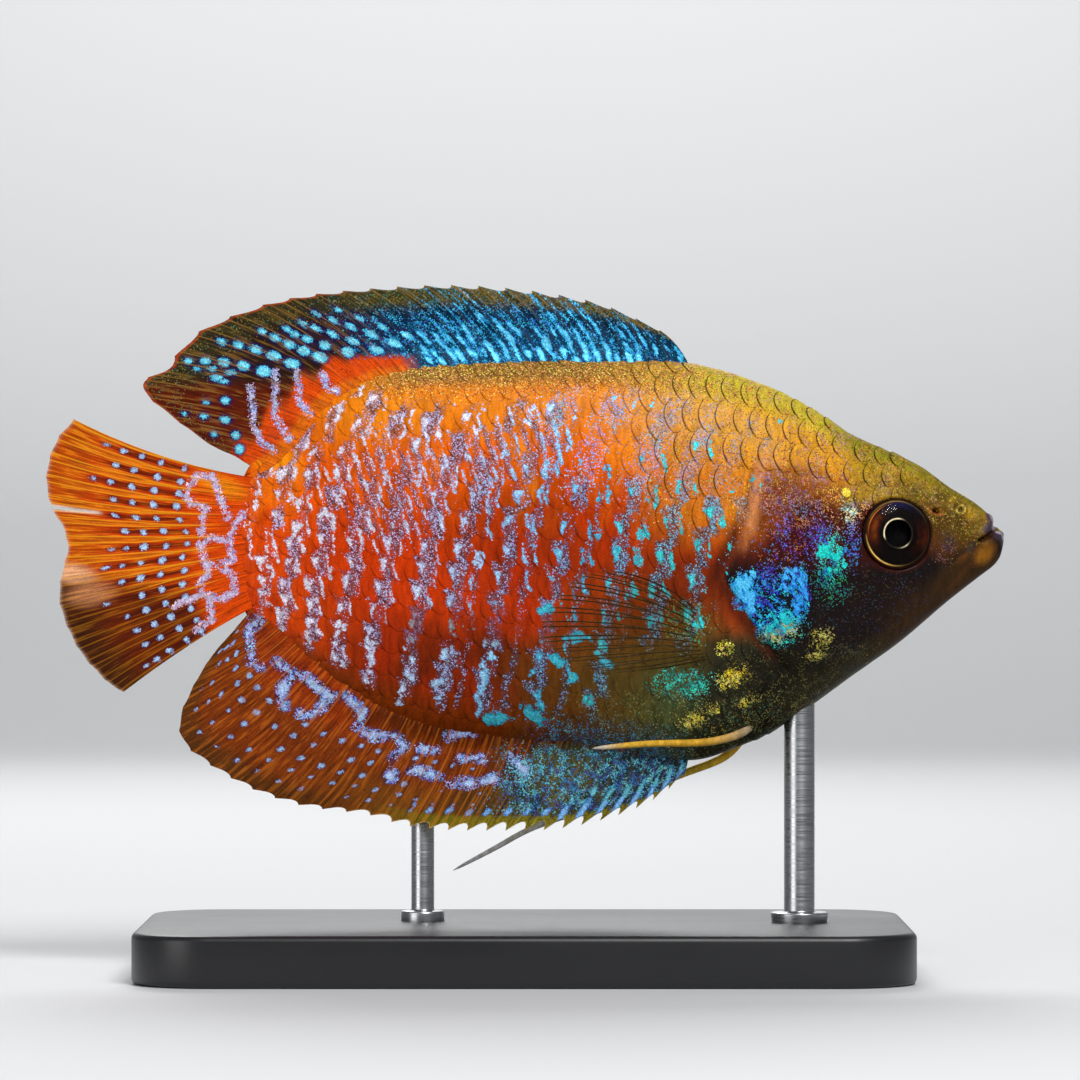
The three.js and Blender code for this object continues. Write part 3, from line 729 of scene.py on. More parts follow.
    def normal(self, s: Array, turn: Array) -> Array:
        """Gives the outward direction of the plain body.

        Args:
            s: distances behind the snout.
            turn: angles round the section, as section counts them.

        Returns:
            Rows of unit vectors.
        """
        near, angle = 0.05, 0.01
        ds = self.point(np.minimum(s + near, BODY_LENGTH), turn) - self.point(np.maximum(s - near, 0), turn)
        dt = self.point(s, turn + angle) - self.point(s, turn - angle)
        n = np.cross(ds, dt)
        n /= np.maximum(np.linalg.norm(n, axis=-1, keepdims=True), 1e-9)
        y, z = self.section(s, turn)
        inward = n[..., 1] * y + n[..., 2] * (z - (self.back.at(s) + self.belly.at(s)) / 2) < 0
        return n * np.where(inward, -1.0, 1.0)[..., None]

    def turn_at(self, s: Array, way: Array) -> Array:
        """Finds the angle of a place on the left side by its way round the section.

        Args:
            s: distances behind the snout.
            way: mm up (positive) or down (negative) from the widest level, along the skin.

        Returns:
            Angles for section.
        """
        upper, lower = (np.interp(s, self.grid, k) for k in (self.top_way, self.low_way))
        limit = np.where(way > 0, upper, lower)
        share = np.clip(way / np.maximum(limit, 1e-6), -1, 1)
        return table_value(self.turns, s / BODY_LENGTH * self.stations, (share + 1) * self.fractions / 2)

    def way_at(self, s: Array, z: Array) -> Array:
        """Finds the way round the section to a height on the side.

        Args:
            s: distances behind the snout.
            z: heights.

        Returns:
            mm up or down along the skin from the widest level.
        """
        bottom, middle, top = self.middle(s)
        reach = np.where(z > middle, top - middle, middle - bottom)
        turn = np.arccos(np.clip((z - middle) / np.maximum(reach, 1e-6), -1, 1))
        return table_value(self.ways, s / BODY_LENGTH * self.stations, turn / math.pi * 2 * self.stations)

    def flank(self, x: float, z: float) -> float:
        """Half the body's width at a place in the side view, in mm."""
        s = np.array([SNOUT_X - x])
        return float(self.section(s, self.turn_at(s, self.way_at(s, np.array([z]))))[0][0])

    def edge_x(self, z: Array) -> Array:
        """Place of the gill cover's rear edge at a height, in mm."""
        x, height = np.array(self.head_edge)[::-1].T
        return np.interp(z, height, x)

    def relief(self, x: Array, y: Array, z: Array) -> Array:
        """Height of the head's own forms over the plain body.

        Args:
            x: places along the fish.
            y: places across it.
            z: heights.

        Returns:
            mm outward, negative where the skin is hollow.
        """
        side = smooth(0.3, 1.2, np.abs(y))
        inside = x - self.edge_x(z)
        span = smooth(-10.6, -8.8, z) * smooth(7.2, 5.6, z)
        plate = smooth(-0.02, 0.32, inside) * smooth(7.5, 4.2, inside) * span
        front_x, front_z = np.array(self.gill_front)[::-1].T
        ahead = x - np.interp(z, front_z, front_x)
        joint = smooth(-9.6, -7.5, z) * smooth(6.8, 3, z)
        h = plate * self.gill_rise - 0.14 * bell(inside + 0.35, 0.35) * span
        h += (0.07 * bell(ahead + 0.6, 0.4) - 0.13 * bell(ahead, 0.22)) * joint
        # Faint ridges that fan out over the gill cover from its upper front corner
        h += 0.018 * np.cos(26 * np.arctan2(z - 5.5, x - 22)) * plate
        # Socket with a soft rim round the eye
        out = np.hypot(x - self.eye[0], z - self.eye[1]) - self.eye_radius
        head = 0.16 * bell(out - 0.28, 0.26) - 1.5 * smooth(0.02, -0.35, out) - 0.05 * bell(out - 0.95, 0.3)
        for nx, nz, radius in self.nostrils:
            d = np.hypot(x - nx, z - nz)
            head += 0.1 * bell(d - radius * 1.5, 0.16) - 0.5 * bell(d, radius, 4)
        # Bone under the eye, the fold of the jaw joint and folds of the throat
        for rise, width, *path in (
                (-0.08, 0.16, (35.3, -0.5), (34.4, -2.2), (33.3, -3.6)),
                (-0.07, 0.22, (32.6, -4.4), (29.5, -6.2), (25.5, -8.6), (22.5, -10.3)),
                (0.05, 0.5, (33, -1.6), (30.6, -3.4), (27.2, -3.9), (24.6, -2.4))):
            head += rise * bell(path_distance(x, z, *path), width)
        return h + head * side


@dataclass
class Mouth:
    """The small upturned mouth: the lower jaw stands out in front of the upper lip."""

    upper_front: float = 36.62
    under_front: float = 36.25
    lip_root: float = 0.62
    slit: Points = ((35.6, 0.0), (36.2, 0.3), (36.75, 0.78), (37.6, 1.5))
    cut: Points = ((35.55, 0.0), (36.2, 0.33), (36.6, 0.6))
    cut_width: float = 0.13
    lips: tuple[tuple[float, Points], ...] = (
        (0.3, ((35.65, 0.2), (36.1, 0.85), (36.3, 1.35), (36.35, 1.75))),
        (0.28, ((35.8, -0.4), (36.4, -0.05), (36.95, 0.35), (37.2, 0.42))))
    lip_height: float = 0.2
    slit_depth: float = 0.5

    def shape(self, points: Array, normals: Array) -> Array:
        """Draws the snout's tip back into upper lip, slit and lower jaw.

        Args:
            points: rows of X, Y and Z in mm.
            normals: outward directions of the points.

        Returns:
            The moved points.
        """
        x, y, z = points.T
        above = smooth(-0.03, 0.16, z - np.interp(x, *np.array(self.slit).T))
        limit = np.where(z > self.lip_root, self.upper_front - 0.12 * (z - 1.35) ** 2, self.under_front)
        out = points.copy()
        out[:, 0] -= np.maximum(x - limit + 0.16 * y * y, 0) * above * smooth(0.15, 0.4, z)
        x = out[:, 0]
        lip = np.maximum.reduce([bell(path_distance(x, z, *path), width) for width, path in self.lips])
        cut = bell(path_distance(x, z, *self.cut), self.cut_width)
        near = smooth(34.9, 35.6, x)
        out += normals * ((self.lip_height * lip * (1 - cut) - self.slit_depth * cut) * near)[:, None]
        return out


@dataclass
class Markings:
    """Colours of the body: red-orange flanks with pale blue bars, an olive nape and a dark spangled head,
    darkened underneath partly by painted shade.
    """

    form: BodyForm
    bars: tuple[float, ...] = (
        -22.3, -20.25, -18.3, -16.1, -13.45, -10.9, -7.85, -5.1, -1.8, 2.45, 6.9, 10.4, 13.2, 15.8, 18.4)
    draws: Array = field(default_factory=lambda: np.random.default_rng(7).random((20, 36, 14)))
    first_row: int = -16
    first_bar: int = -2
    comb_step: float = 0.98

    def lattice(self, x: Array, z: Array) -> tuple[Array, Array, Array, Array]:
        """Places points among the pale bars and the scale rows.

        Args:
            x: places along the fish.
            z: heights.

        Returns:
            Bar number, row number, mm between bars and mm between rows.
        """
        s = np.clip(SNOUT_X - x, 0, BODY_LENGTH)
        way = self.form.way_at(s, z)
        pitch = self.form.row_pitch.at(s)
        upright = x - 0.17 * way - np.where(way > 0, 0.016 * way**2, 0)
        places = np.array(self.bars)
        bar = np.interp(upright, places, np.arange(len(places)))
        gaps = np.interp(upright, (places[1:] + places[:-1]) / 2, np.diff(places))
        return bar, (way - self.form.row_zero.at(s)) / pitch, gaps, pitch

    def paint(self, points: Array) -> Paint:
        """Works out the paint of skin or scales.

        Args:
            points: rows of X, Y and Z in mm on the fish's own level.

        Returns:
            The paint of those points.
        """
        x, _, z = points.T
        paint = Paint(x, z)
        bottom, _, top = self.form.middle(np.clip(SNOUT_X - x, 0, BODY_LENGTH))
        level = np.clip((z - bottom) / np.maximum(top - bottom, 1e-6), 0, 1)
        behind = x - self.form.edge_x(z)
        self.flank_colours(paint, level)
        self.head_colours(paint, level, behind)
        self.flank_marks(paint, level)
        self.belly_marks(paint)
        self.head_marks(paint, behind)
        return paint

    def flank_colours(self, paint: Paint, level: Array) -> None:
        """Lays the pigments of body and nape.

        Args:
            paint: the paint that is worked on.
            level: height of each vertex, from 0 on the belly line to 1 on the back line.
        """
        x, z, tone = paint.x, paint.z, paint.tone
        tone("C43602", 1)
        tone("942A02", smooth(0.42, 0.14, level))
        tone("DC5804", smooth(0.45, 0.72, level))
        tone("E27E0E", smooth(0.72, 0.9, level))
        tone("D84604", smooth(-12, -20, x) * 0.9)
        paint.ovals(1, ("8E2806", 0.75, 1, 0, 11, 7.5), ("F0920E", 1, -20.5, 7.2, 4.5, 2, -35))
        # Fleshy streaks of yellow-orange above and of red below
        fleshy = smooth(0.52, 0.9, paint.cloud(1.3, 303, 2)) * smooth(0.5, 0.8, level)
        tone("F48E10", fleshy * (0.3 + 0.25 * smooth(-14, 0, x)))
        tone("B42A02", smooth(0.52, 0.9, paint.cloud(1.6, 305, 2)) * smooth(0.85, 0.6, level) * 0.45)
        tone("96732C", smooth(0.915, 0.965, level) * smooth(-14, -8, x) * 0.9)
        # Darker clouds low on the flank and towards the anal fin
        blotched = 0.35 + 0.5 * smooth(0.35, 0.7, paint.cloud(2.6, 301))
        paint.ovals(blotched, ("5A1C02", 1, -2, -10, 13, 5.4, -6))
        tone("7A3006", smooth(0.14, 0.03, level) * smooth(4, -2, x) * smooth(-22, -17, x))
        # Browner behind the gill cover, under the side fin and along the belly
        tone("98300A", smooth(5, 11, x) * smooth(0.78, 0.56, level) * 0.8)
        shade = smooth(7, 13, x + 0.3 * z) * smooth(0.66, 0.5, level)
        tone("5A2008", shade * smooth(0.35, 0.6, paint.cloud(1.5, 317, 2)) * 0.7)
        paint.ovals(1, ("7E3408", 0.65, 8, -5.5, 8, 6), ("6A2206", 0.75, 14, -3.5, 4.5, 6, 80))
        shade = smooth(-5, 6, x + paint.waver(4, 2, 306)) * smooth(17, 14, x)
        tone("6A4212", shade * smooth(-4.5, -9, z - 0.2 * (x - 8)) * 0.85)
        ragged = x + paint.waver(3, 2.2, 307)
        tone("565020", smooth(0, 11, ragged) * smooth(-6.5, -11, z - 0.15 * (x - 8)) * 0.9)
        tone("3E4A2A", smooth(5, 13, ragged) * smooth(-9, -13, z) * 0.8)
        tone("2A281A", smooth(12.6, 15.4, x - 0.2 * (z + 8)) * smooth(-6.6, -8.4, z))
        # Golden nape with an olive top edge
        for colour, rear, front, low, high in (("CC6E14", 7, 13, 0.5, 0.64), ("DC861E", 14, 19, 0.55, 0.66),
                                               ("DC9A22", 4, 16, 0.68, 0.88), ("C8B434", 6, 16, 0.88, 0.97)):
            tone(colour, smooth(rear, front, x) * smooth(low, high, level))

    def head_colours(self, paint: Paint, level: Array, behind: Array) -> None:
        """Lays the pigments of the head, with painted shade under it and behind the gill cover, and a painted
        highlight on the cover's edge.

        Args:
            paint: the paint that is worked on.
            level: height of each vertex, from 0 on the belly line to 1 on the back line.
            behind: mm from the gill cover's rear edge towards the snout.
        """
        x, z, tone = paint.x, paint.z, paint.tone
        inside = smooth(-0.1, 0.25, behind)
        upper = smooth(-2.4, 0.6, z) * smooth(3.6, 0.8, behind + paint.waver(1.2, 0.9, 319))
        tone("441810", inside * smooth(5.9, 5.0, z + 0.22 * (x - 18)) * (1 - 0.62 * upper))
        paint.ovals(inside, ("96500F", 0.8, 21.5, 4.6, 4.6, 2, -10), ("74300E", 0.9, 18.9, 2.6, 2.6, 3.6, 10))
        paint.ovals(1, ("94541A", 0.7, 24.6, 3.4, 2, 1.6))
        paint.ovals(inside, ("3A1016", 0.8, 21, -0.4, 3.4, 2.4))
        # Darker towards the head's underside, throat and cheek: partly dark pigment, partly painted shade
        # where the light from above falls off
        tone("181110", smooth(-0.6, -3, z - 0.25 * np.maximum(x - 27, 0)) * inside)
        paint.ovals(1, ("221018", 0.7, 25.6, 0, 1.7, 3))
        paint.ovals(inside, ("0C161C", 0.9, 18.6, -5.2, 3.2, 3.4))
        paint.ovals(1, ("1C1210", 0.7, 27, -4.4, 6, 3))
        tone("1A170E", smooth(-7.4, -9.6, z) * smooth(16, 19, x))
        tone("2C240F", smooth(0.16, 0.05, level) * smooth(18, 22, x))
        tone("35210C", smooth(0.34, 0.1, level) * smooth(26.5, 30, x))
        # Painted shadow: the fold behind the gill cover is darkened where the cover's edge shades it
        fold = smooth(-1.5, -0.5, behind) * smooth(0, -0.3, behind)
        tone("4A1A0A", fold * smooth(3, 0.5, z) * smooth(-10, -8, z) * 0.85)
        # Forehead and snout
        tone("A8841A", smooth(24, 26.5, x) * smooth(2.4, 3.6, z))
        tone("8E8A1E", smooth(0.88, 0.97, level) * smooth(22, 26, x))
        tone("6E5A1A", smooth(29, 34, x) * smooth(0, 2, z) * 0.8)
        paint.ovals(
            1, ("5E4A18", 0.8, 30.8, 3.2, 3.6, 1.3, -35), ("4E2C10", 0.95, 32.2, 0.4, 1.9, 3, 25),
            ("604212", 0.9, 33.8, 1, 2.6, 2.4, -30), ("76581C", 0.9, 35.2, 1.3, 1.6, 1.2, -40),
            ("9C8430", 0.8, 34.9, 2.3, 1, 0.45, -35), ("BE8C18", 0.8, 34.6, 2.1, 1.1, 0.6, -40),
            ("3E3210", 0.42, 32.6, 1.9, 4.4, 2.2, -36), ("2E2C18", 0.7, 32.4, 3.5, 0.9, 0.55, -35),
            ("33282C", 0.9, 33.1, -0.2, 0.8, 1, 0), ("3A342C", 0.9, 34.8, -0.8, 0.6, 1.1, -15),
            ("3C2410", 0.9, 34.2, 1.4, 0.7, 0.45, -30), ("7C4612", 0.9, 34.2, -1.5, 1, 0.5, 40))
        ring = np.hypot(x - self.form.eye[0], z - self.form.eye[1]) / self.form.eye_radius
        under = smooth(1.5, -1.5, z + 0.5 * (x - 29))
        tone("34120A", smooth(0.98, 1.02, ring) * smooth(1.16, 1.06, ring) * under)
        paint.ovals(1, ("38250E", 0.95, 33.6, -2.8, 3.2, 1.8, 48), ("8A5814", 0.95, 35.9, -1, 1.5, 1, 50))
        # Nostrils: a raised tube with a bright lip in front, a slit with an orange rim behind
        tube, slot = paint.reach(34.05, 2.4, 0.3, 0.3), paint.reach(32, 2.25, 0.34, 0.16, -20)
        tone("D8BC58", smooth(0.75, 0.95, tube) * smooth(1.5, 1.25, tube))
        tone("2A1C0A", smooth(1.4, 1.55, tube) * smooth(1.9, 1.7, tube) * smooth(34, 34.2, x) * 0.8)
        tone("2A1C0A", smooth(0.8, 0.5, tube))
        tone("A8601C", smooth(2.4, 1.6, slot) * 0.8)
        tone("1C0F08", smooth(1.3, 0.8, slot))
        fold = path_distance(x, z, (35.4, -0.5), (34.5, -2.1), (33.2, -3.9))
        tone("4A2A10", smooth(0.42, 0.16, fold) * 0.5)
        # Pale skin edge of the gill cover, lightened further by a painted highlight on its rise, with a thin
        # painted shade line in the crease just behind it
        tall = smooth(-1.4, 0.6, z) * smooth(7.6, 5.6, z)
        band = smooth(0.0, 0.2, behind) * smooth(1.4, 0.7, behind) * tall
        tone("C87E48", band * (0.35 + 0.6 * smooth(0.3, 0.7, paint.cloud(0.5, 321, 3))))
        tone("5A1A08", smooth(-0.25, -0.1, behind) * smooth(0.12, 0, behind) * tall * 0.6)
        # Lips, each dark with a pale rim
        for colour, cover, edges, upper_lip, lower_lip in (
                ("3C323C", 0.9, ((0.5, 0.25), (0.4, 0.2)),
                 ((36.2, 0.8), (36.5, 1.3), (36.4, 1.9)), ((36.9, 0.35), (37.3, 0.35), (37.5, -0.3))),
                ("A89CB0", 0.7, ((0.16, 0.05), (0.14, 0.05)),
                 ((36.45, 1.95), (36.65, 1.4), (36.6, 0.9)), ((36.9, 0.62), (37.3, 0.5), (37.5, -0.1)))):
            both = (smooth(*edge, paint.net(lip)) for edge, lip in zip(edges, (upper_lip, lower_lip)))
            tone(colour, np.maximum(*both) * cover)

    def flank_marks(self, paint: Paint, level: Array) -> None:
        """Draws bars of bright scales: a patch, a band of grains and a slanting streak on each.

        Args:
            paint: the paint that is worked on.
            level: height of each vertex, from 0 on the belly line to 1 on the back line.
        """
        x, z = paint.x, paint.z
        bar, row, gap, pitch = self.lattice(x + paint.waver(0.55, 0.9, 313), z + paint.waver(0.3, 0.7, 314))
        dense = np.maximum(paint.spot(-10.5, 4.2, 7.5, 8, -60), paint.spot(-1.5, 7.2, 8, 4.6, 8))
        crest = np.where(x < -11, 0.05, 0)
        body = smooth(17.6, 15.6, x - 0.35 * z) * smooth(-22.4, -19.6, x)
        body = body * smooth(0.93 + crest, 0.86 + crest, level)
        keep = body * smooth(0.03, 0.1, level) * (1 - smooth(4, 9, x) * smooth(0.36, 0.22, level))
        sparse = 1 - 0.5 * smooth(3.2, 5.5, z - 0.12 * (14 - x)) * smooth(2, 5, x)
        dim = smooth(-4.6, -6, z) * smooth(-9, -7.4, z) * smooth(-13, -9, x) * smooth(4, 2, x)
        belly = smooth(-5.5, -7.5, z)
        worn = paint.waver(0.3, 0.28, 315)
        width = np.clip(gap, 1.7, 4.4)
        depth, density = np.full(x.shape, OUTSIDE), np.zeros(x.shape)
        for near_bar, near_row in np.ndindex(3, 3):
            i, j = np.floor(bar) + near_bar - 1, np.round(row) + near_row - 1
            draw = self.draws[i.astype(int) - self.first_bar, j.astype(int) - self.first_row].T
            dx = (bar - i) * gap + (draw[0] - 0.5) * 0.45
            dz = (row - j) * pitch + (draw[1] - 0.5) * 0.45
            kept = (draw[2] < keep * sparse * 1.05) & (keep > 0.05)
            shown = (draw[3] < 1.1 - dense) & (belly < 0.75)
            marks = [(shown, self.wedge(dx, dz, draw, 1 - 0.25 * (1 - sparse)))]
            for k in range(4):
                away = np.hypot(dx - 0.35 - 0.9 * (draw[4 + k] - 0.5), 0.6 * (dz - 1.7 * (draw[8 + k] - 0.5)))
                marks.append((belly > 0.3, 0.12 + 0.14 * draw[5 + k] - away + worn))
            for k, place in enumerate((0.46, 0.62)):
                at = place * width - 0.1 + 0.3 * (draw[6 + k] - 0.5)
                marks.append(((draw[4 + k] < 0.9 - 0.75 * belly) & ((k == 0) | (gap > 3.3)),
                              self.streak(dx - at, dz, draw[8 + k:]) - 0.04 * (1 - sparse)))
            for shown, inner in marks:
                depth = np.maximum(depth, np.where(kept & shown, inner, OUTSIDE))
            drop = 0.5 - dz
            band = smooth(-0.15, 0.2, dx + 0.4 - drop * 0.4) * smooth(0.66, 0.5, np.abs(dz + 0.2) / pitch)
            band *= smooth(0.2, -0.1, dx - np.minimum(0.32 * width + 0.05, 0.85) - drop * 0.16)
            extra = (gap > 3.3) * smooth(0.42, 0.1, np.abs(dx - 0.62 * width + 0.35)) * 0.5
            density = np.maximum(density, np.maximum(band, extra) * (0.22 + 0.5 * draw[12]) * keep)
        comb, beat = self.comb(x, row)
        depth = np.maximum(depth, np.where((dense > 0.35) & (keep > 0.3), comb, OUTSIDE))
        density = np.maximum(density, dense * keep * 0.4 * beat) * sparse * (1 - 0.35 * dim)
        density *= (0.5 + 0.75 * smooth(0.25, 0.7, paint.cloud(0.7, 309, 1.6))) * smooth(0.04, 0.34, density)
        tint = self.mark_tint(x, z)
        shown = smooth(0.02, 0.45, density) * (0.6 - 0.5 * smooth(2, 8, x) * smooth(1, 5, z))
        paint.base[:, :3] += (self.blend(tint, "4E1C22", 0.93) - paint.base[:, :3]) * shown[:, None]
        faded = self.blend(tint, "80604E", (dim * 0.75)[:, None])
        paint.patches(faded, depth - 0.06 * dim)
        paint.fleck[:, :3] = self.blend(faded, "7C5CA8", 0.62)
        paint.fleck[:, 3] = np.clip(density * (0.56 + 0.16 * smooth(-2, 4, x)), 0, 1)
        paint.darken(density * 0.4)
        # Fine lilac grains carry the front bars up to the back
        on_bar = smooth(0.42, 0.16, np.abs(bar - 0.1 - np.round(bar - 0.1)))
        faint = on_bar * smooth(2.5, 5, z) * smooth(0, 3, x) * smooth(17, 13, x) * smooth(0.95, 0.88, level)
        paint.mixed("A896C8 8C9CD6 B8A0B4 7CB4D0", faint * 0.34, 0.5, 331)
        # The back's fine pepper and salt, and stray specks on the nape
        pepper = smooth(0.87, 0.97, level) * smooth(-14, -9, x) * smooth(20, 10, x)
        paint.grains("DCAE5C", pepper * 0.26)
        paint.darken(pepper * 0.34)
        nape = smooth(6, 12, x) * smooth(0.55, 0.7, level) * smooth(34, 28, x)
        paint.mixed("B8844C D49A34 8A6030 B88470", nape * 0.3, 0.7, 311)
        paint.darken(nape * 0.05)

    def wedge(self, dx: Array, dz: Array, draw: Array, size: Array) -> Array:
        """Measures how deep points lie in a scale's bright patch: flat above, tapering downward.

        Args:
            dx: mm from the patch's middle towards the snout.
            dz: mm above it.
            draw: draws that vary the patch.
            size: its size against the usual one.

        Returns:
            mm inside, negative outside.
        """
        half = (0.23 + 0.12 * draw[10]) * size
        drop = 0.42 * size - dz
        left = dx + half - drop * (0.25 + 0.3 * draw[11])
        right = half - dx - drop * 0.12
        return np.minimum(np.minimum(drop * 0.8, (0.98 * size - drop) * 0.6), np.minimum(left, right) * 0.85)

    def streak(self, dx: Array, dz: Array, draw: Array) -> Array:
        """Measures how deep points lie in a streak that leans back at its top and ends in a point below.

        Args:
            dx: mm from the streak's middle towards the snout.
            dz: mm above it.
            draw: draws that vary the streak.

        Returns:
            mm inside, negative outside.
        """
        long, top = 1.35 + 0.7 * draw[0], 0.55
        t = np.clip((top - dz) / long, 0, 1)
        middle = (0.3 + 0.1 * draw[1]) * (t - 0.5) * long
        wide = (0.05 + 0.12 * t) * (0.75 + 0.5 * draw[2]) * smooth(1.02, 0.8, t)
        past = np.maximum(np.abs(dz - top + long / 2) - long / 2, 0)
        return wide - np.hypot(dx - middle, past)

    def comb(self, x: Array, row: Array) -> tuple[Array, Array]:
        """Measures how deep points lie in the crowded streaks of the upper flank.

        Args:
            x: places along the fish in mm.
            row: scale row numbers.

        Returns:
            mm inside a streak, negative outside, and a beat for the grains between them.
        """
        depth = np.full(x.shape, OUTSIDE)
        place = (x + 0.62 * row) / self.comb_step
        for near in (-1, 0, 1):
            i = np.round(place) + near
            column = i.astype(int) % len(self.draws)
            shift = self.draws[column, 3, 0]
            j = np.round(row + shift)
            draw = self.draws[column, j.astype(int) - self.first_row].T
            dx = (place - i) * self.comb_step + (draw[0] - 0.5) * 0.3
            dz = (row + shift - j) * 2.0
            thick = (0.07 + 0.06 * draw[1]) * smooth(1.05, 0.3, np.abs(dz) / (0.72 + 0.25 * draw[2]))
            depth = np.maximum(depth, np.where(draw[3] < 0.8, thick - np.abs(dx), OUTSIDE))
        return depth, 0.5 + 0.5 * np.cos(place * 2 * math.pi + 2.4)

    def mark_tint(self, x: Array, z: Array) -> Array:
        """Gives the bright marks' colour: lilac at the tail, light blue amidships, turquoise in front.

        Args:
            x: places along the fish in mm.
            z: heights.

        Returns:
            Rows of linear colour.
        """
        place = x + 0.4 * np.maximum(-1 - z, 0) - 0.55 * np.maximum(z - 3, 0)
        return columns_at(place, (-17, -8, 0, 5, 10), shades("F0E8F6 DAE4FC A6DCFC 6CD8F4 4CDCDA"))

    def blend(self, tint: Array, colour: str, share: Array | float) -> Array:
        """Mixes rows of linear colour with one colour by a share."""
        return tint + (np.array(linear(colour)) - tint) * share

    def belly_marks(self, paint: Paint) -> None:
        """Sets the larger turquoise and gold patches of the lower flank and belly.

        Args:
            paint: the paint so far.
        """
        worn = paint.waver(0.5, 0.3, 511)
        for place in ((1.8, -5.3, 0.9, 0.4, 20), (4.2, -7.6, 1.3, 0.45, 8), (2.6, -9.4, 0.7, 0.5, -40),
                      (3.7, -10.7, 0.6, 0.4), (6.4, -9.6, 0.7, 0.35, -30), (-2.2, -13.9, 1.4, 0.5, 5),
                      (0.6, -13.6, 1.1, 0.5, -38)):
            paint.patches("4AC6DA", paint.depth(*place) - 0.05 + worn)
        paint.mixed("2FB5A8 38D0C0 2C7C70", paint.spot(12.2, -11.1, 3.4, 1.7) * 0.7, 0.5, 521)
        paint.mixed("3E9C60 2C8C84 7A9C40", paint.spot(12.5, -6.4, 2.8, 2.2) * 0.4, 0.4, 525)
        for place in ((15.6, -8.4, 1, 0.9), (16.2, -10.6, 1.8, 1.2), (13, -14, 1.6, 0.8),
                      (14.8, -13.1, 1, 0.6), (17.2, -12.6, 0.9, 0.5)):
            paint.mixed("D8C42C EEE068 86802A", paint.spot(*place, 25) * 0.62, 0.35, 531)
        belly = smooth(-11, -13, paint.z) * smooth(2, 8, paint.x) * smooth(32, 24, paint.x)
        paint.mixed("6C7040 346754 8C8444", belly * 0.2, 0.6, 541)
        seam = smooth(-1, 3, paint.x) * smooth(14, 10, paint.x)
        seam = seam * smooth(-13.2, -16, paint.z + 0.12 * (paint.x - 6))
        paint.mixed("3C94C8 4CA4C4 3478B4", seam * 0.3, 0.4, 545)
        paint.tone("2A343A", seam * 0.5)

    def head_marks(self, paint: Paint, behind: Array) -> None:
        """Sets the metallic patches and grains of the head.

        Args:
            paint: the paint that is worked on.
            behind: mm from the gill cover's rear edge towards the snout.
        """
        x, z, mixed, spot = paint.x, paint.z, paint.mixed, paint.spot
        inside = smooth(-0.05, 0.15, behind)
        upper = smooth(-2.4, 0.6, z) * smooth(3.6, 0.8, behind)
        # Spangles of many colours over the gill cover
        spangled = spot(20.6, 0.6, 4.8, 4.2) * inside * (1 - 0.6 * upper)
        mixed("4A48C8 8C4A26 6A2E6C A8642C 2E7CB0", spangled * 0.28, 0.5, 401)
        mixed("A66C2A 84461E 9A6A48 5E4C94", spot(20.8, 4, 4.6, 2.4) * inside * 0.34, 0.4, 411)
        mixed("4438B8 4A3CC0 2E6CC8", spot(22.8, 0.4, 1.6, 1.7) * 0.4, 0.4, 421)
        mixed("3A4CC0 5A40B0 2A80C0", spot(25.5, 0.2, 0.9, 3.4) * 0.34, 0.4, 431)
        # Azure plates: bright ragged cores in a bed of grains, violet between them
        cover = (inside * smooth(23, 22, x)) > 0.5
        worn = 0.9 * (paint.cloud(0.26, 441) - 0.66)
        for shade, core, *place in (
                ("58C8FC", 0.24, 16.9, -3.3, 1.4, 0.75, 38), ("50BCF8", 0.2, 17.2, -4.7, 0.75, 1.5, 10),
                ("38B8E0", 0, 18, -6.3, 0.7, 1.1, 25), ("4CB4FA", 0.02, 20.9, -3.1, 1.2, 1.2, 20),
                ("3CA4F4", 0.08, 21.4, -4.6, 0.75, 1.6, 0), ("2CC8CC", -0.02, 19.9, -6.4, 1.5, 1, 30),
                ("3C80E8", -0.24, 18.9, -4.4, 1.2, 1.4, 30)):
            within = 1 - paint.reach(*place)
            plate = np.minimum(paint.depth(*place), 0.25) - 0.12 + core + worn
            paint.patches(shade, plate, cover & (within > 0.02))
            mixed("2FA4E4 1F6CC0 2CB4C8 2A40B8", smooth(-0.25, 0.25, within) * inside * 0.62, 0.35, 445)
        mixed("2A2C98 3A34B8 1E5CB0", spot(18.9, -2.9, 1.5, 1.3) * inside * 0.55, 0.4, 451)
        mixed("17A8A0 2AC4BC 1A7C90", spot(20, -7, 2.6, 1.5, 22) * inside * 0.7, 0.4, 455)
        groove = smooth(0.16, 0.06, path_distance(x, z, (18, -2.9), (18.6, -4), (19.5, -5.1)))
        paint.glint[:, 3] -= groove * 0.6
        paint.fleck[:, 3] *= 1 - groove * 0.8
        # Turquoise behind and under the eye, yellow spot above it
        mixed("22C8BC 38E0D0 1A90A0 2070C0", spot(23.8, -1.5, 1.5, 2.9, -8) * 0.75, 0.4, 461)
        mixed("1A8E80 1C6C7C 2C8C50", spot(23.8, -3.4, 2.2, 2.2) * 0.34, 0.4, 465)
        worn = paint.waver(0.5, 0.25, 471)
        for px, pz, size in ((23.2, -0.9, 0.6), (24.1, -1.3, 0.36), (23.6, -2.4, 0.34), (24.8, -2.0, 0.26),
                             (23.1, 0.2, 0.2)):
            paint.patches("2ADACB", paint.depth(px, pz, size, size) - 0.12 + worn)
        paint.patches("E8CC4C", (1 - paint.reach(25, 3.7, 0.42, 0.36)) * 0.42 - 0.05)
        mixed("58D0D0 E8F0E0 D0C040", spot(25.2, 2.4, 0.9, 1.5) * 0.6, 0.3, 475)
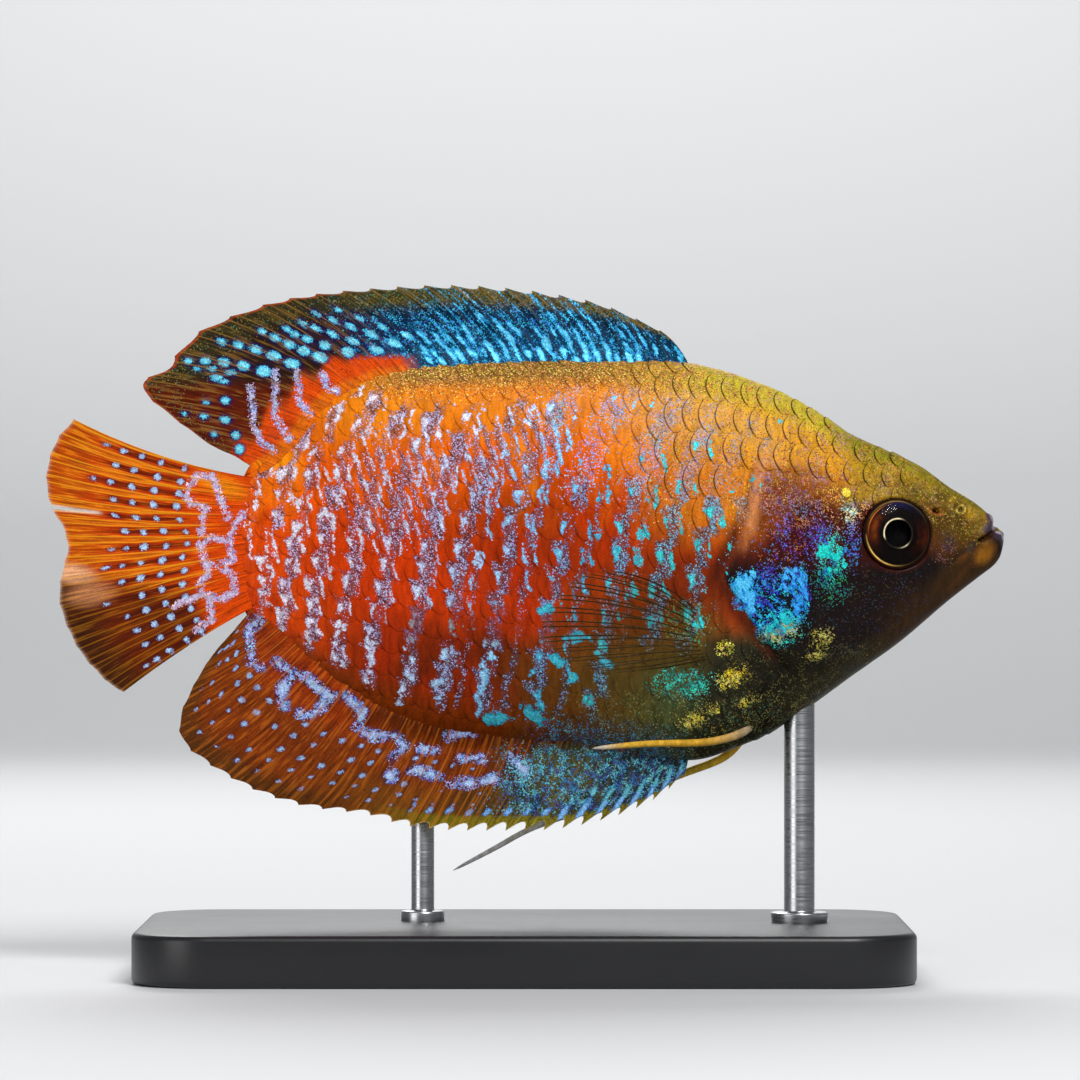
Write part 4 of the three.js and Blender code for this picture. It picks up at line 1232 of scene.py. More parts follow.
        # Pale gold networks on the lower gill cover and the throat
        for place in ((20.6, -6.9, 0.9, 1.1, 40), (19.3, -7.4, 1.2, 0.7, -30), (23.1, -7.6, 1.3, 1.1, 20),
                      (22.6, -9, 1.2, 0.5, 10), (26.4, -9, 0.4, 0.22)):
            mixed("B8B044 D2CA68 6C682A", spot(*place) * 0.6, 0.3, 481)
        cheek = smooth(-1, -3, z) * smooth(21, 24, x) * smooth(33, 29, x)
        throat = smooth(-7, -9, z) * smooth(15, 18, x) * smooth(31, 27, x)
        brow = smooth(25, 27.5, x) * smooth(2.9, 4.4, z + 0.4 * (x - 26)) * smooth(36.5, 35, x)
        mixed("24343C 30263C 3A2C1C", cheek * 0.12, 0.6, 491)
        mixed("4A4524 56502C 2A2C20", throat * 0.2, 0.6, 493)
        mixed("5E4458 704E44 4A3028", spot(32.6, -0.6, 1.4, 2) * 0.26, 0.35, 497)
        mixed("6A5814 AC9434 3A3010 8E7C3E", brow * 0.34, 0.35, 501)
        mixed("6A4A1C 3A2610 7C5E28", spot(34, 0, 2.6, 2.8) * 0.16, 0.4, 505)


@dataclass
class Skin:
    """The one skin from lips to tail stem, in place of head, jaw, gill covers, torso and tail stem."""

    form: BodyForm
    markings: Markings
    mouth: Mouth = field(default_factory=Mouth)
    round_cells: int = 290
    long_cells: int = 330
    crowding: float = 1.6
    finish: LivingSkin = LivingSkin("wet_gourami_skin")

    def build(self) -> Piece:
        """Shapes a ball into the body, then raises its relief and draws its mouth.

        Returns:
            The skin.
        """
        deselect()
        bpy.ops.mesh.primitive_uv_sphere_add(segments=self.round_cells, ring_count=self.long_cells, radius=1)
        piece = start_piece("skin")
        ball = read_vertices(piece.data)
        share = np.arccos(np.clip(ball[:, 2] / np.linalg.norm(ball, axis=1), -1, 1)) / math.pi
        s = BODY_LENGTH * share**self.crowding
        turn = np.arctan2(ball[:, 1], ball[:, 0])
        points, normals = self.form.point(s, turn), self.form.normal(s, turn)
        poles = (share < 1e-4) | (share > 1 - 1e-4)
        normals[poles] = np.where(share[poles, None] < 0.5, (1, 0, 0), (-1, 0, 0))
        rise = (self.form.relief(*points.T) - self.form.coat_depth) * smooth(0, 1.5, s)
        points = self.mouth.shape(points + normals * rise[:, None], normals)
        write_vertices(piece.data, (points + (0, 0, FISH_LEVEL)) * MM)
        face_outward(piece)
        self.markings.paint(points).store(piece.data)
        shade_smooth(piece)
        return piece

    def dress(self, piece: Piece) -> None:
        """Gives the skin its material and its place in the frame.

        Args:
            piece: the skin.
        """
        piece.data.materials.append(self.finish.make())
        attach(piece, ROOT)
        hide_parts("head", "lower_jaw", "gill_cover_right", "gill_cover_left", "torso", "tail_stem")


@dataclass
class ScaleCoat:
    """Overlapping scales on one side, each a thin closed plate with its front sunk in the skin."""

    form: BodyForm
    markings: Markings
    side: Side
    name: str
    start: float
    end: float
    column_pitch: float = 1.3
    length: float = 2.3
    half_width: float = 0.56
    set_back: float = 0.35
    lift: float = 0.1
    sink: float = 0.09
    under: float = 0.25
    across: int = 13
    stations: tuple[float, ...] = (0, 0.14, 0.27, 0.39, 0.5, 0.6, 0.69, 0.77, 0.84, 0.9, 0.95, 1)
    tail_clear: float = 1.6
    line_clear: float = 0.1
    rim: float = 0.07
    patch: float = 0.003
    finish: LivingSkin = LivingSkin("wet_scale_plates")

    def roots(self) -> Array:
        """Lists where scales grow.

        Returns:
            One row each for distance behind the snout, way round, row number and column number.
        """
        row, column = (k.ravel() for k in np.meshgrid(np.arange(-12, 13), np.arange(4, 46), indexing="ij"))
        s = self.column_pitch * (column + 0.5 * (row % 2)) + 0.12 * (chance(row, column, 31) - 0.5)
        way = row * self.form.row_pitch.at(s) + self.form.row_zero.at(s)
        highest, lowest = (np.interp(s, self.form.grid, k) for k in (self.form.top_way, self.form.low_way))
        z = self.form.section(s, self.form.turn_at(s, way))[1]
        x = SNOUT_X - s
        nape = (z > 5.6 - 0.3 * (x - 20)) & (x < 30.6)
        kept = (s >= self.start) & (s < self.end) & (s <= BODY_LENGTH - self.tail_clear)
        kept &= (way <= highest - self.line_clear) & (way >= self.line_clear - lowest)
        kept &= (x <= self.form.edge_x(z) - 0.2) | nape
        return np.array([s, way, row, column], float)[:, kept]

    def build(self) -> Piece:
        """Sets every scale along the skin, as one joined mesh.

        Returns:
            The scales of this stretch.
        """
        s0, way0, row, column = (k[:, None, None] for k in self.roots())
        count, nu, nv = len(s0), self.across, len(self.stations)
        u = np.linspace(-1, 1, nu)[None, None, :]
        v = np.array(self.stations)[None, :, None]
        size = (0.94 + 0.12 * chance(row, column, 41)) * (smooth(7, 14, s0) * 0.35 + 0.65)
        s = s0 + self.length * size * v * (1 - 0.3 * u * u) - self.set_back
        s = np.clip(s, 0.5, BODY_LENGTH - 0.05)
        way = way0 + self.half_width * self.form.row_pitch.at(s0) * u * (1 - 0.12 * (1 - v))
        turn = self.form.turn_at(s, way)
        points, normals = self.form.point(s, turn), self.form.normal(s, turn)
        relief = self.form.relief(*np.moveaxis(points, -1, 0))
        level = -self.sink + (self.lift + self.sink) * v**0.8 - 0.07 * u**4
        level = level + 0.02 * (chance(row, column, 43) - 0.5)
        top = points + normals * (relief + level)[..., None]
        middle = (slice(None), nv // 2, nu // 2)
        low = points[middle] + normals[middle] * (relief[middle] - self.under)[:, None]
        block = np.concatenate([top.reshape(count, -1, 3), low[:, None, :]], axis=1)
        flat = block.reshape(-1, 3) * (1, self.side.value, 1)
        faces = [[corner + start for corner in face]
                 for face in self.faces(nu, nv) for start in range(0, len(flat), block.shape[1])]
        name = f"scales_{self.side.name.lower()}_{self.name}"
        piece = mesh_piece(name, (flat + (0, 0, FISH_LEVEL)) * MM, faces)
        face_outward(piece)
        paint = self.markings.paint(flat)
        self.draw_rims(paint, u, v)
        paint.store(piece.data)
        self.unwrap(piece, s0, way0)
        shade_smooth(piece, 60)
        return piece

    def faces(self, nu: int, nv: int) -> list[list[int]]:
        """Lists the faces of one scale: its upper side, and a fan from its rim to the point under it.

        Args:
            nu: points across.
            nv: points along.

        Returns:
            Corner numbers of each face.
        """
        numbers = np.arange(nu * nv).reshape(nv, nu)
        quads = np.stack([numbers[:-1, :-1], numbers[:-1, 1:], numbers[1:, 1:], numbers[1:, :-1]], axis=-1)
        rim = [*numbers[0], *numbers[1:, -1], *numbers[-1, -2::-1], *numbers[-2:0:-1, 0]]
        fan = [[int(b), int(a), nu * nv] for a, b in zip(rim, rim[1:] + rim[:1])]
        return quads.reshape(-1, 4).tolist() + fan

    def draw_rims(self, paint: Paint, u: Array, v: Array) -> None:
        """Darkens the free edge of the scales on nape and shoulder, where it shows as a thin arc.

        Args:
            paint: the paint of all the scales.
            u: places across a scale, from -1 to 1.
            v: places along it, from 0 to 1.
        """
        x, z = paint.x, paint.z
        in_rim = self.rim - (1 - v) * self.length * 0.9 + 0 * u
        fade = 0.5 + 0.5 * smooth(0.9, 0.5, np.abs(u) + 0 * v)
        plate, fade = (np.append(k.ravel(), under) for k, under in ((in_rim, OUTSIDE), (fade, 1)))
        count = len(x) // len(plate)
        strength = 0.75 * smooth(5, 12, x) * smooth(-1, 5, z) + 0.14 * smooth(-20, 0, x)
        paint.trim[:, 0] = np.tile(plate, count)
        paint.trim[:, 2] = np.clip(strength, 0, 1) * np.tile(fade, count)

    def unwrap(self, piece: Piece, s0: Array, way0: Array) -> None:
        """Gives each scale a small patch at its root's place on the unrolled side.

        Args:
            piece: the scales.
            s0: distance of each scale behind the snout.
            way0: way round the body to each scale.
        """
        local = np.meshgrid(np.linspace(0, 1, self.across), np.linspace(0, 1, len(self.stations)))
        local = np.vstack([np.stack(local, axis=-1).reshape(-1, 2), (0.52, 0.47)]) * self.patch
        place = 0.9 * np.stack([s0.ravel(), way0.ravel()], axis=1) / BODY_LENGTH
        root = place + (0.04, 0.5)
        places = (root[:, None, :] + local[None, :, :]).reshape(-1, 2)
        layer = piece.data.uv_layers.new(name="OFBake")
        corners = np.empty(len(piece.data.loops), np.int32)
        piece.data.loops.foreach_get("vertex_index", corners)
        layer.data.foreach_set("uv", places[corners].astype(np.float32).ravel())

    def dress(self, piece: Piece) -> None:
        """Gives the scales their material and their place in the frame.

        Args:
            piece: the scales of this stretch.
        """
        piece.data.materials.append(self.finish.make())
        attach(piece, ROOT)


def kneed(share: Array, knees: Points) -> Array:
    """Bends an even share at its knees, so that rays crowd in places.

    Args:
        share: numbers from 0 to 1.
        knees: pairs of an even share and the share that it turns into.

    Returns:
        Numbers from 0 to 1.
    """
    even, bent = np.array(((0, 0), *knees, (1, 1))).T
    return np.interp(share, even, bent)


@dataclass(frozen=True)
class FinPlace:
    """Where each vertex of a fin lies among its rays.

    share runs across the fin and v along its rays, from 0 to 1. ray counts the rays, gap is mm from ray to
    ray and reach is mm from root to tip.
    """

    share: Array
    v: Array
    ray: Array
    gap: Array
    reach: Array

    def beads(self, lines: Sequence[float], size: float, stretch: Array | float, shown: float,
              key: int) -> Array:
        """Sets a bead between each pair of rays on each of several lines across the fin.

        Args:
            lines: places along the rays where the lines cross.
            size: half a bead's width in mm.
            stretch: its length against its width.
            shown: share of the beads that are there.
            key: picks the draw.

        Returns:
            How deep each vertex lies inside a bead, in mm.
        """
        cell = np.floor(self.ray)
        depth = np.full(cell.shape, OUTSIDE)
        for number, line in enumerate(lines):
            draw = [chance(cell, number, key + k) for k in range(4)]
            dv = (self.v - line - 0.02 * (draw[1] - 0.5)) * self.reach
            du = (self.ray - cell - 0.5 - 0.1 * (draw[2] - 0.5)) * self.gap
            bead = size * (0.82 + 0.36 * draw[0]) - np.hypot(du, dv / stretch)
            depth = np.maximum(depth, np.where(draw[3] < shown, bead, OUTSIDE))
        return depth


@dataclass
class FinSheet:
    """A fin as a fan of rays from a root line to a tip line, with a membrane between them."""

    name: str
    node: str
    rays: int
    root: Callable[[Array], Array]
    edge: Points
    tip_knees: Points
    notch: tuple[float, float]
    bow: tuple[float, float]
    sway: Callable[[Array, Array], Array]
    turned: int = 1
    soft_from: float = 0
    columns: int = 12
    rows: int = 64
    thick: tuple[float, float, float, float] = (1.7, 0.55, 0.3, 0.12)
    thick_at: tuple[float, float, float, float] = (0.08, 0.24, 0.5, 1)
    ray_rise: float = 0.12
    ray_half: float = 0.09
    fork: float = 0.1667
    tooth: float = 0.72
    line_half: float = 0.045
    line_strength: float = 0.7
    slot: str = ""
    finish: LivingSkin = LivingSkin("fin_membrane")

    def lay(self, share: Array, v: Array) -> Array:
        """Places points of the fin in the side view.

        Args:
            share: place across the fin, from its first ray to its last.
            v: place along the rays, from root to tip.

        Returns:
            Rows of X and Z in mm.
        """
        count = 400
        root = self.root(share)
        edge = smooth_path(self.edge, count)
        tip = columns_at(kneed(share, self.tip_knees), np.linspace(0, 1, count), edge)
        along = tip - root
        ray = share * (self.rays - 1)
        between = np.sin(math.pi * (ray - np.floor(ray + 1e-9)).clip(0, 1) ** self.tooth)
        depth = self.notch[1] + (self.notch[0] - self.notch[1]) * (1 - share) ** 2.2
        v = v * (1 - depth * between * v**6)
        bow = self.bow[0] + (self.bow[1] - self.bow[0]) * share
        aside = np.stack([along[:, 1], -along[:, 0]], axis=1)
        return root + along * v[:, None] + aside * (bow * 4 * v * (1 - v) * self.turned)[:, None]

    def build(self) -> Piece:
        """Shapes a grid into the fin and gives it its thickness, with the rays raised on both faces.

        Returns:
            The fin.
        """
        piece, share, v = grid_sheet(self.name, self.columns * (self.rays - 1), self.rows)
        x, z = self.lay(share, v).T
        write_vertices(piece.data, np.stack([x, self.sway(share, v), z + FISH_LEVEL], axis=1) * MM)
        self.cut(piece, share, v)
        ray = share * (self.rays - 1)
        off = np.abs(ray - np.round(ray))
        branch = smooth(0.35, 0.6, v) * (share > self.soft_from) * self.fork
        away = np.minimum(np.abs(off - branch), np.abs(off + branch))
        body = np.interp(v, self.thick_at, self.thick)
        ridge = self.ray_rise * bell(away, self.ray_half) * smooth(1.0, 0.8, v)
        thickest = self.thick[0] + self.ray_rise
        group = piece.vertex_groups.new(name="thickness")
        for index, weight in enumerate(((body + ridge) / thickest).tolist()):
            group.add((index,), weight, "REPLACE")
        for label, values in (("ray_number", ray), ("ray_reach", v), ("ray_gap", away)):
            write_attribute(piece.data, label, "FLOAT", "value", values)
        wall = piece.modifiers.new("wall", "SOLIDIFY")
        wall.thickness = thickest * MM
        wall.offset = 0
        wall.vertex_group = "thickness"
        apply_modifiers(piece)
        face_outward(piece)
        piece.vertex_groups.clear()
        self.paint(piece.data)
        shade_smooth(piece, 50)
        return piece

    def cut(self, piece: Piece, share: Array, v: Array) -> None:
        """Leaves the flat sheet whole. A torn fin cuts it here."""

    def read(self, mesh: bpy.types.Mesh, label: str) -> Array:
        """Reads one of the ray attributes back.

        Args:
            mesh: the fin's mesh.
            label: name of the attribute.

        Returns:
            Its value at each vertex.
        """
        values = np.empty(len(mesh.vertices), np.float32)
        mesh.attributes[label].data.foreach_get("value", values)
        return values.astype(float)

    def paint(self, mesh: bpy.types.Mesh) -> None:
        """Colours the fin. Each kind of fin lays its own pigments and marks.

        Args:
            mesh: the fin's mesh.
        """
        points = read_vertices(mesh) / MM - (0, 0, FISH_LEVEL)
        ray, v, away = (self.read(mesh, n) for n in ("ray_number", "ray_reach", "ray_gap"))
        share, step, near = ray / (self.rays - 1), 0.5 / (self.rays - 1), 0.02
        ahead, behind = (self.lay(np.clip(share + k, 0, 1), v) for k in (step, -step))
        gap = np.maximum(np.linalg.norm(ahead - behind, axis=1), 0.15)
        high, low = np.clip(v + near, 0, 1), np.clip(v - near, 0, 1)
        run = np.linalg.norm(self.lay(share, high) - self.lay(share, low), axis=1)
        place = FinPlace(share, v, ray, gap, run / np.maximum(high - low, 1e-6))
        paint = Paint(points[:, 0], points[:, 2])
        paint.trim[:, 0] = self.line_half - away * gap
        paint.trim[:, 2] = self.line_strength
        self.colour(paint, place)
        paint.store(mesh)
        strand = np.stack([ray, v * place.reach, 0 * v], axis=1)
        write_attribute(mesh, "strand", "FLOAT_VECTOR", "vector", strand)

    def colour(self, paint: Paint, at: FinPlace) -> None:
        """Lays pigments and marks on the fin's paint, by where each vertex lies among the rays."""
        paint.tone("A05018", 1)

    def dress(self, piece: Piece) -> None:
        """Gives the fin its material and its place in the frame.

        Args:
            piece: the fin.
        """
        piece.data.materials.append(self.finish.make())
        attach(piece, ROOT)
        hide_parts(self.node)


@dataclass
class DorsalFin(FinSheet):
    """The long fin on the back: dark blue edged olive, with rows of turquoise beads on its brown rear."""

    dash_lines: int = 8
    dash_lanes: tuple[float, float] = (0.27, 0.73)

    def colour(self, paint: Paint, at: FinPlace) -> None:
        """Lays blue, olive, brown and orange, then dashes, beads and lilac bars.

        Args:
            paint: the fin's paint.
            at: where its vertices lie among the rays.
        """
        x, z, v, up = paint.x, paint.z, at.v, at.v * at.reach
        rear = smooth(-9, -16, x + 0.35 * (z - 15))
        front = 1 - rear
        paint.tone("04263C", 1)
        paint.tone("083A5A", smooth(0.6, 0.2, v) * 0.8)
        paint.tone("2C1A10", rear)
        paint.tone("36361A", smooth(0.68, 0.84, v) * (0.55 + 0.45 * front))
        paint.tone("5A1A06", rear * smooth(13, 11.4, z))
        flesh = smooth(-8, -10, x) * smooth(3.9, 2.8, up + 0.5 * np.sin(x * 2.6)) * smooth(14.7, 14, z)
        paint.tone("CC4204", np.maximum(flesh, smooth(0.3, 0.16, v) * rear))
        lobe = np.maximum(rear, flesh)
        paint.tone("D46A0E", lobe * smooth(1.9, 1.2, up + 0.5 * paint.cloud(0.9, 603)) * 0.75)
        paint.tone("A8401C", rear * smooth(0.968, 0.985, v) * 0.8)
        paint.tone("8A8270", front * smooth(0.98, 0.992, v) * 0.8)
        middle = smooth(-7, -10, x + 0.3 * (z - 16))
        early = smooth(8.4, 11, x)
        paint.patches("6CD4FA", self.dashes(at, early), (middle < 0.5) & (flesh < 0.5))
        hatch = 0.35 + 0.65 * (chance(np.floor(at.ray * 9), np.floor(v * 9), 607) > 0.45)
        hatch = front * smooth(0.84, 0.55, v) * hatch * (1 - 0.6 * early) * (1 - flesh)
        paint.mixed("2A84BC 3EA4DC 165888", hatch * 0.5, 0.5, 601)
        paint.mixed("6A5C24 6E7040 3C6458", smooth(0.62, 0.8, v) * (0.14 + 0.2 * front), 0.4, 605)
        beads = self.bead_rows(paint)
        paint.tone("20124A", smooth(-0.34, -0.05, beads) * 0.75)
        paint.patches("7CDEF6", beads + 0.03, middle > 0.3)
        # Lilac bars between orange fields at the root of the rear lobe
        net = paint.net(((-21.4, 12), (-21.2, 9.2), (-20.6, 7.6), (-19.6, 7)),
                        ((-19.5, 13.2), (-19.5, 9.6), (-18.4, 7.9)),
                        ((-17.8, 13.2), (-17.6, 10.8), (-16.8, 9.9)),
                        ((-15.8, 13), (-15.4, 11.9), (-14.6, 11.6)))
        paint.mixed("B0B0D8 7C8CC8 C8A8D0", smooth(0.46, 0.14, net) * lobe * 0.75, 0.3, 613)
        paint.patches("C0CCEC", 0.06 - net + paint.waver(0.5, 0.3, 611), lobe > 0.5)
        drawn = np.maximum(0.06 + 0.79 * rear, front * 0.75 * smooth(0.7, 0.84, v))
        paint.trim[:, 2] = drawn * (1 - 0.75 * flesh)
        paint.darken(0.05 * smooth(-0.05, -0.3, beads))

    def dashes(self, at: FinPlace, early: Array) -> Array:
        """Sets dashes along the rays, longest and brightest near the back.

        Args:
            at: where the vertices lie among the rays.
            early: how far each vertex lies in the first few rays, which have fewer, from 0 to 1.

        Returns:
            How deep each vertex lies inside a dash, in mm.
        """
        cell = np.floor(at.ray)
        depth = np.full(cell.shape, OUTSIDE)
        for number in range(self.dash_lines):
            for lane in self.dash_lanes:
                draw = [chance(cell, number, 60 + k + 10 * lane) for k in range(6)]
                line = 0.17 + 0.078 * number + 0.07 * (draw[0] - 0.5)
                t = (at.v - line) * at.reach / (0.4 + 0.5 * draw[1])
                wide = (0.25 - 0.02 * number) * (0.55 + 0.7 * draw[2])
                wide = wide * smooth(1.05, 0.3, np.abs(t)) * (1 + 0.3 * t)
                du = (at.ray - cell - lane - 0.2 * (draw[3] - 0.5)) * at.gap + 0.16 * (draw[5] - 0.5) * t
                shown = draw[4] < (0.92 - 0.1 * number) * (1 - 0.7 * early)
                depth = np.maximum(depth, np.where(shown, wide - np.abs(du), OUTSIDE))
        return depth

    def bead_rows(self, paint: Paint) -> Array:
        """Sets beads along curved rows on the rear lobe.

        Args:
            paint: the fin's paint.

        Returns:
            How deep each vertex lies inside a bead, in mm.
        """
        beads = np.full(paint.x.shape, OUTSIDE)
        for start, bend, end, count, small, large, flat in (
                ((-23.7, 15.5), (-21, 14.9), (-18.2, 13.8), 5, 0.36, 0.58, 0.66),
                ((-26.3, 14), (-23.5, 13.9), (-20.4, 13.2), 5, 0.34, 0.56, 0.72),
                ((-25.6, 13.4), (-24.4, 13.4), (-23, 13.1), 3, 0.26, 0.34, 0.55),
                ((-24.1, 12.7), (-23.8, 12.6), (-23.5, 12.4), 2, 0.42, 0.3, 0.6),
                ((-20.5, 16.3), (-18.4, 15.3), (-16, 14.3), 5, 0.34, 0.56, 0.7),
                ((-18.6, 16.5), (-17, 15.7), (-13.8, 14.7), 5, 0.3, 0.5, 0.72),
                ((-17.3, 16.9), (-15, 16.1), (-11.6, 14.9), 5, 0.36, 0.55, 0.5),
                ((-16.3, 17.7), (-13.6, 16.7), (-10.2, 15.4), 5, 0.32, 0.6, 0.46),
                ((-14.6, 18), (-12, 17), (-9.2, 16), 4, 0.3, 0.5, 0.42),
                ((-26.6, 9.9), (-25.1, 9.7), (-23.4, 9.4), 3, 0.2, 0.36, 0.7),
                ((-24.3, 8.3), (-23.5, 8.2), (-22.6, 8.2), 2, 0.24, 0.32, 0.9),
                ((-22.3, 7.1), (-22.2, 7), (-22.1, 6.9), 1, 0.34, 0.34, 1.1),
                ((-24.9, 10.8), (-24.2, 10.9), (-23.4, 10.9), 2, 0.2, 0.33, 0.85)):
            a, b, c = (np.array(place) for place in (start, bend, end))
            for index in range(count):
                t = index / max(count - 1, 1)
                x, z = (1 - t) ** 2 * a + 2 * t * (1 - t) * (2 * b - (a + c) / 2) + t * t * c
                size = small + (large - small) * t
                lean = -8 - 26 * smooth(12.5, 17.5, z)
                beads = np.maximum(beads, (1 - paint.reach(x, z, size, size * flat, lean)) * size * flat)
        return beads


class AnalFin(FinSheet):
    """The long fin under the body: orange-brown behind, dark teal in front, with blue beads."""

    def colour(self, paint: Paint, at: FinPlace) -> None:
        """Lays orange, brown and teal, then the root band, beads and dashes.

        Args:
            paint: the fin's paint.
            at: where its vertices lie among the rays.
        """
        x, z, v, tone = paint.x, paint.z, at.v, paint.tone
        front = smooth(-3.6, 2, x - 0.5 * (z + 18) + paint.waver(3.4, 1.6, 617)) * smooth(0.05, 0.2, v)
        tone("7E3408", 1)
        tone("963206", smooth(0.45, 0.2, v) * smooth(-8, -16, x) * 0.9)
        tone("602608", smooth(0.3, 0.1, v) * smooth(-14, -9, x))
        tone("744612", smooth(0.5, 0.8, v) * smooth(-20, -10, x) * 0.7)
        tone("50300E", smooth(0.75, 0.95, v) * smooth(-10, -18, x) * 0.8)
        tone("5A3A14", smooth(-7, -4, x) * smooth(0.5, 0.65, v) * 0.8)
        tone("22342C", front)
        tone("544E26", front * smooth(0.2, 0.6, paint.cloud(2.4, 619)) * smooth(10, 3, x) * 0.95)
        tone("262430", smooth(9, 11.5, x) * 0.6)
        tone("7E7418", smooth(0.84, 0.9, v) * smooth(-13, -6, x) * 0.85)
        tone("C8B070", smooth(0.982, 0.995, v) * smooth(-16, -10, x) * 0.8)
        # Blue-lilac net along the root
        net = paint.net(
            ((-20.6, -6.2), (-21.7, -7), (-21.5, -8.3), (-21.3, -9.6), (-20.6, -10.1)),
            ((-19.3, -9.5), (-17.9, -10.5), (-19.1, -11.7), (-18.9, -13)),
            ((-17.9, -10.5), (-16.9, -10.9), (-15.2, -12.2), (-16.6, -13.7), (-17.4, -13.5)),
            ((-15.2, -12.2), (-14.1, -12.2), (-12.7, -13.4), (-13.2, -14.7), (-12.3, -15.3), (-10.2, -15.3),
             (-9.5, -16.2), (-10.2, -17)),
            ((-8, -16.3), (-7, -16.5)), ((-5.8, -15.3), (-4.2, -15)), ((-4.8, -17), (-3.4, -17.2)),
            ((-10.7, -18.6), (-10.2, -18.4)), ((-9, -18.1), (-8.1, -18.1), (-6.6, -18.5)),
            ((-5.9, -19.1), (-4.4, -19), (-2.4, -18.7)), ((-1.1, -17), (0, -18)))
        wide = 0.3 + 0.14 * np.sin(x * 2.3 + z)
        tone("3C2444", smooth(wide + 0.4, wide, net) * 0.6)
        paint.mixed("8CB0EC A4A0E0 6C8CD8", smooth(wide + 0.3, wide - 0.05, net) * 0.7, 0.35, 623)
        paint.patches("B4D0F8", wide - 0.16 - net + paint.waver(0.55, 0.3, 621))
        paint.darken(smooth(wide + 0.2, wide, net) * 0.2)
        # Rows of beads behind, grains and dashes in front
        clear = smooth(0.55, 0.8, net) * smooth(-2, -5, x) > 0.4
        inner = at.beads((0.4, 0.52, 0.64, 0.76, 0.87), 0.25, 1.05, 0.85, 83) - 0.09 * smooth(0.45, 0.9, v)
        paint.patches("A4C4E8", inner - 0.06 * smooth(-12, -6, x), clear)
        tone("3A1A30", smooth(-0.22, -0.02, inner) * clear * 0.35)
        grainy = front * smooth(0.05, 0.2, v) * smooth(0.9, 0.78, v)
        paint.mixed("4C9CC0 6CB4BC 3878A0 3A5C98", grainy * 0.52, 0.4, 631)
        paint.mixed("58B8D8 78D0E4", front * paint.spot(-0.4, -18.2, 2.2, 1.6) * 0.4, 0.4, 635)
        paint.patches("84BCF0", at.beads((0.83,), 0.26, 1.2 + 3 * smooth(1, 6, x), 0.95, 91), x > -8.75)
        paint.patches("78CCD8", at.beads((0.66, 0.84), 0.2, 4.2, 0.8, 95), x > 5.2 - 0.8 * (z + 20))
        paint.trim[:, 2] = np.clip(0.7 - 0.62 * front, 0, 1)
        paint.darken(0.05 + 0.14 * front)


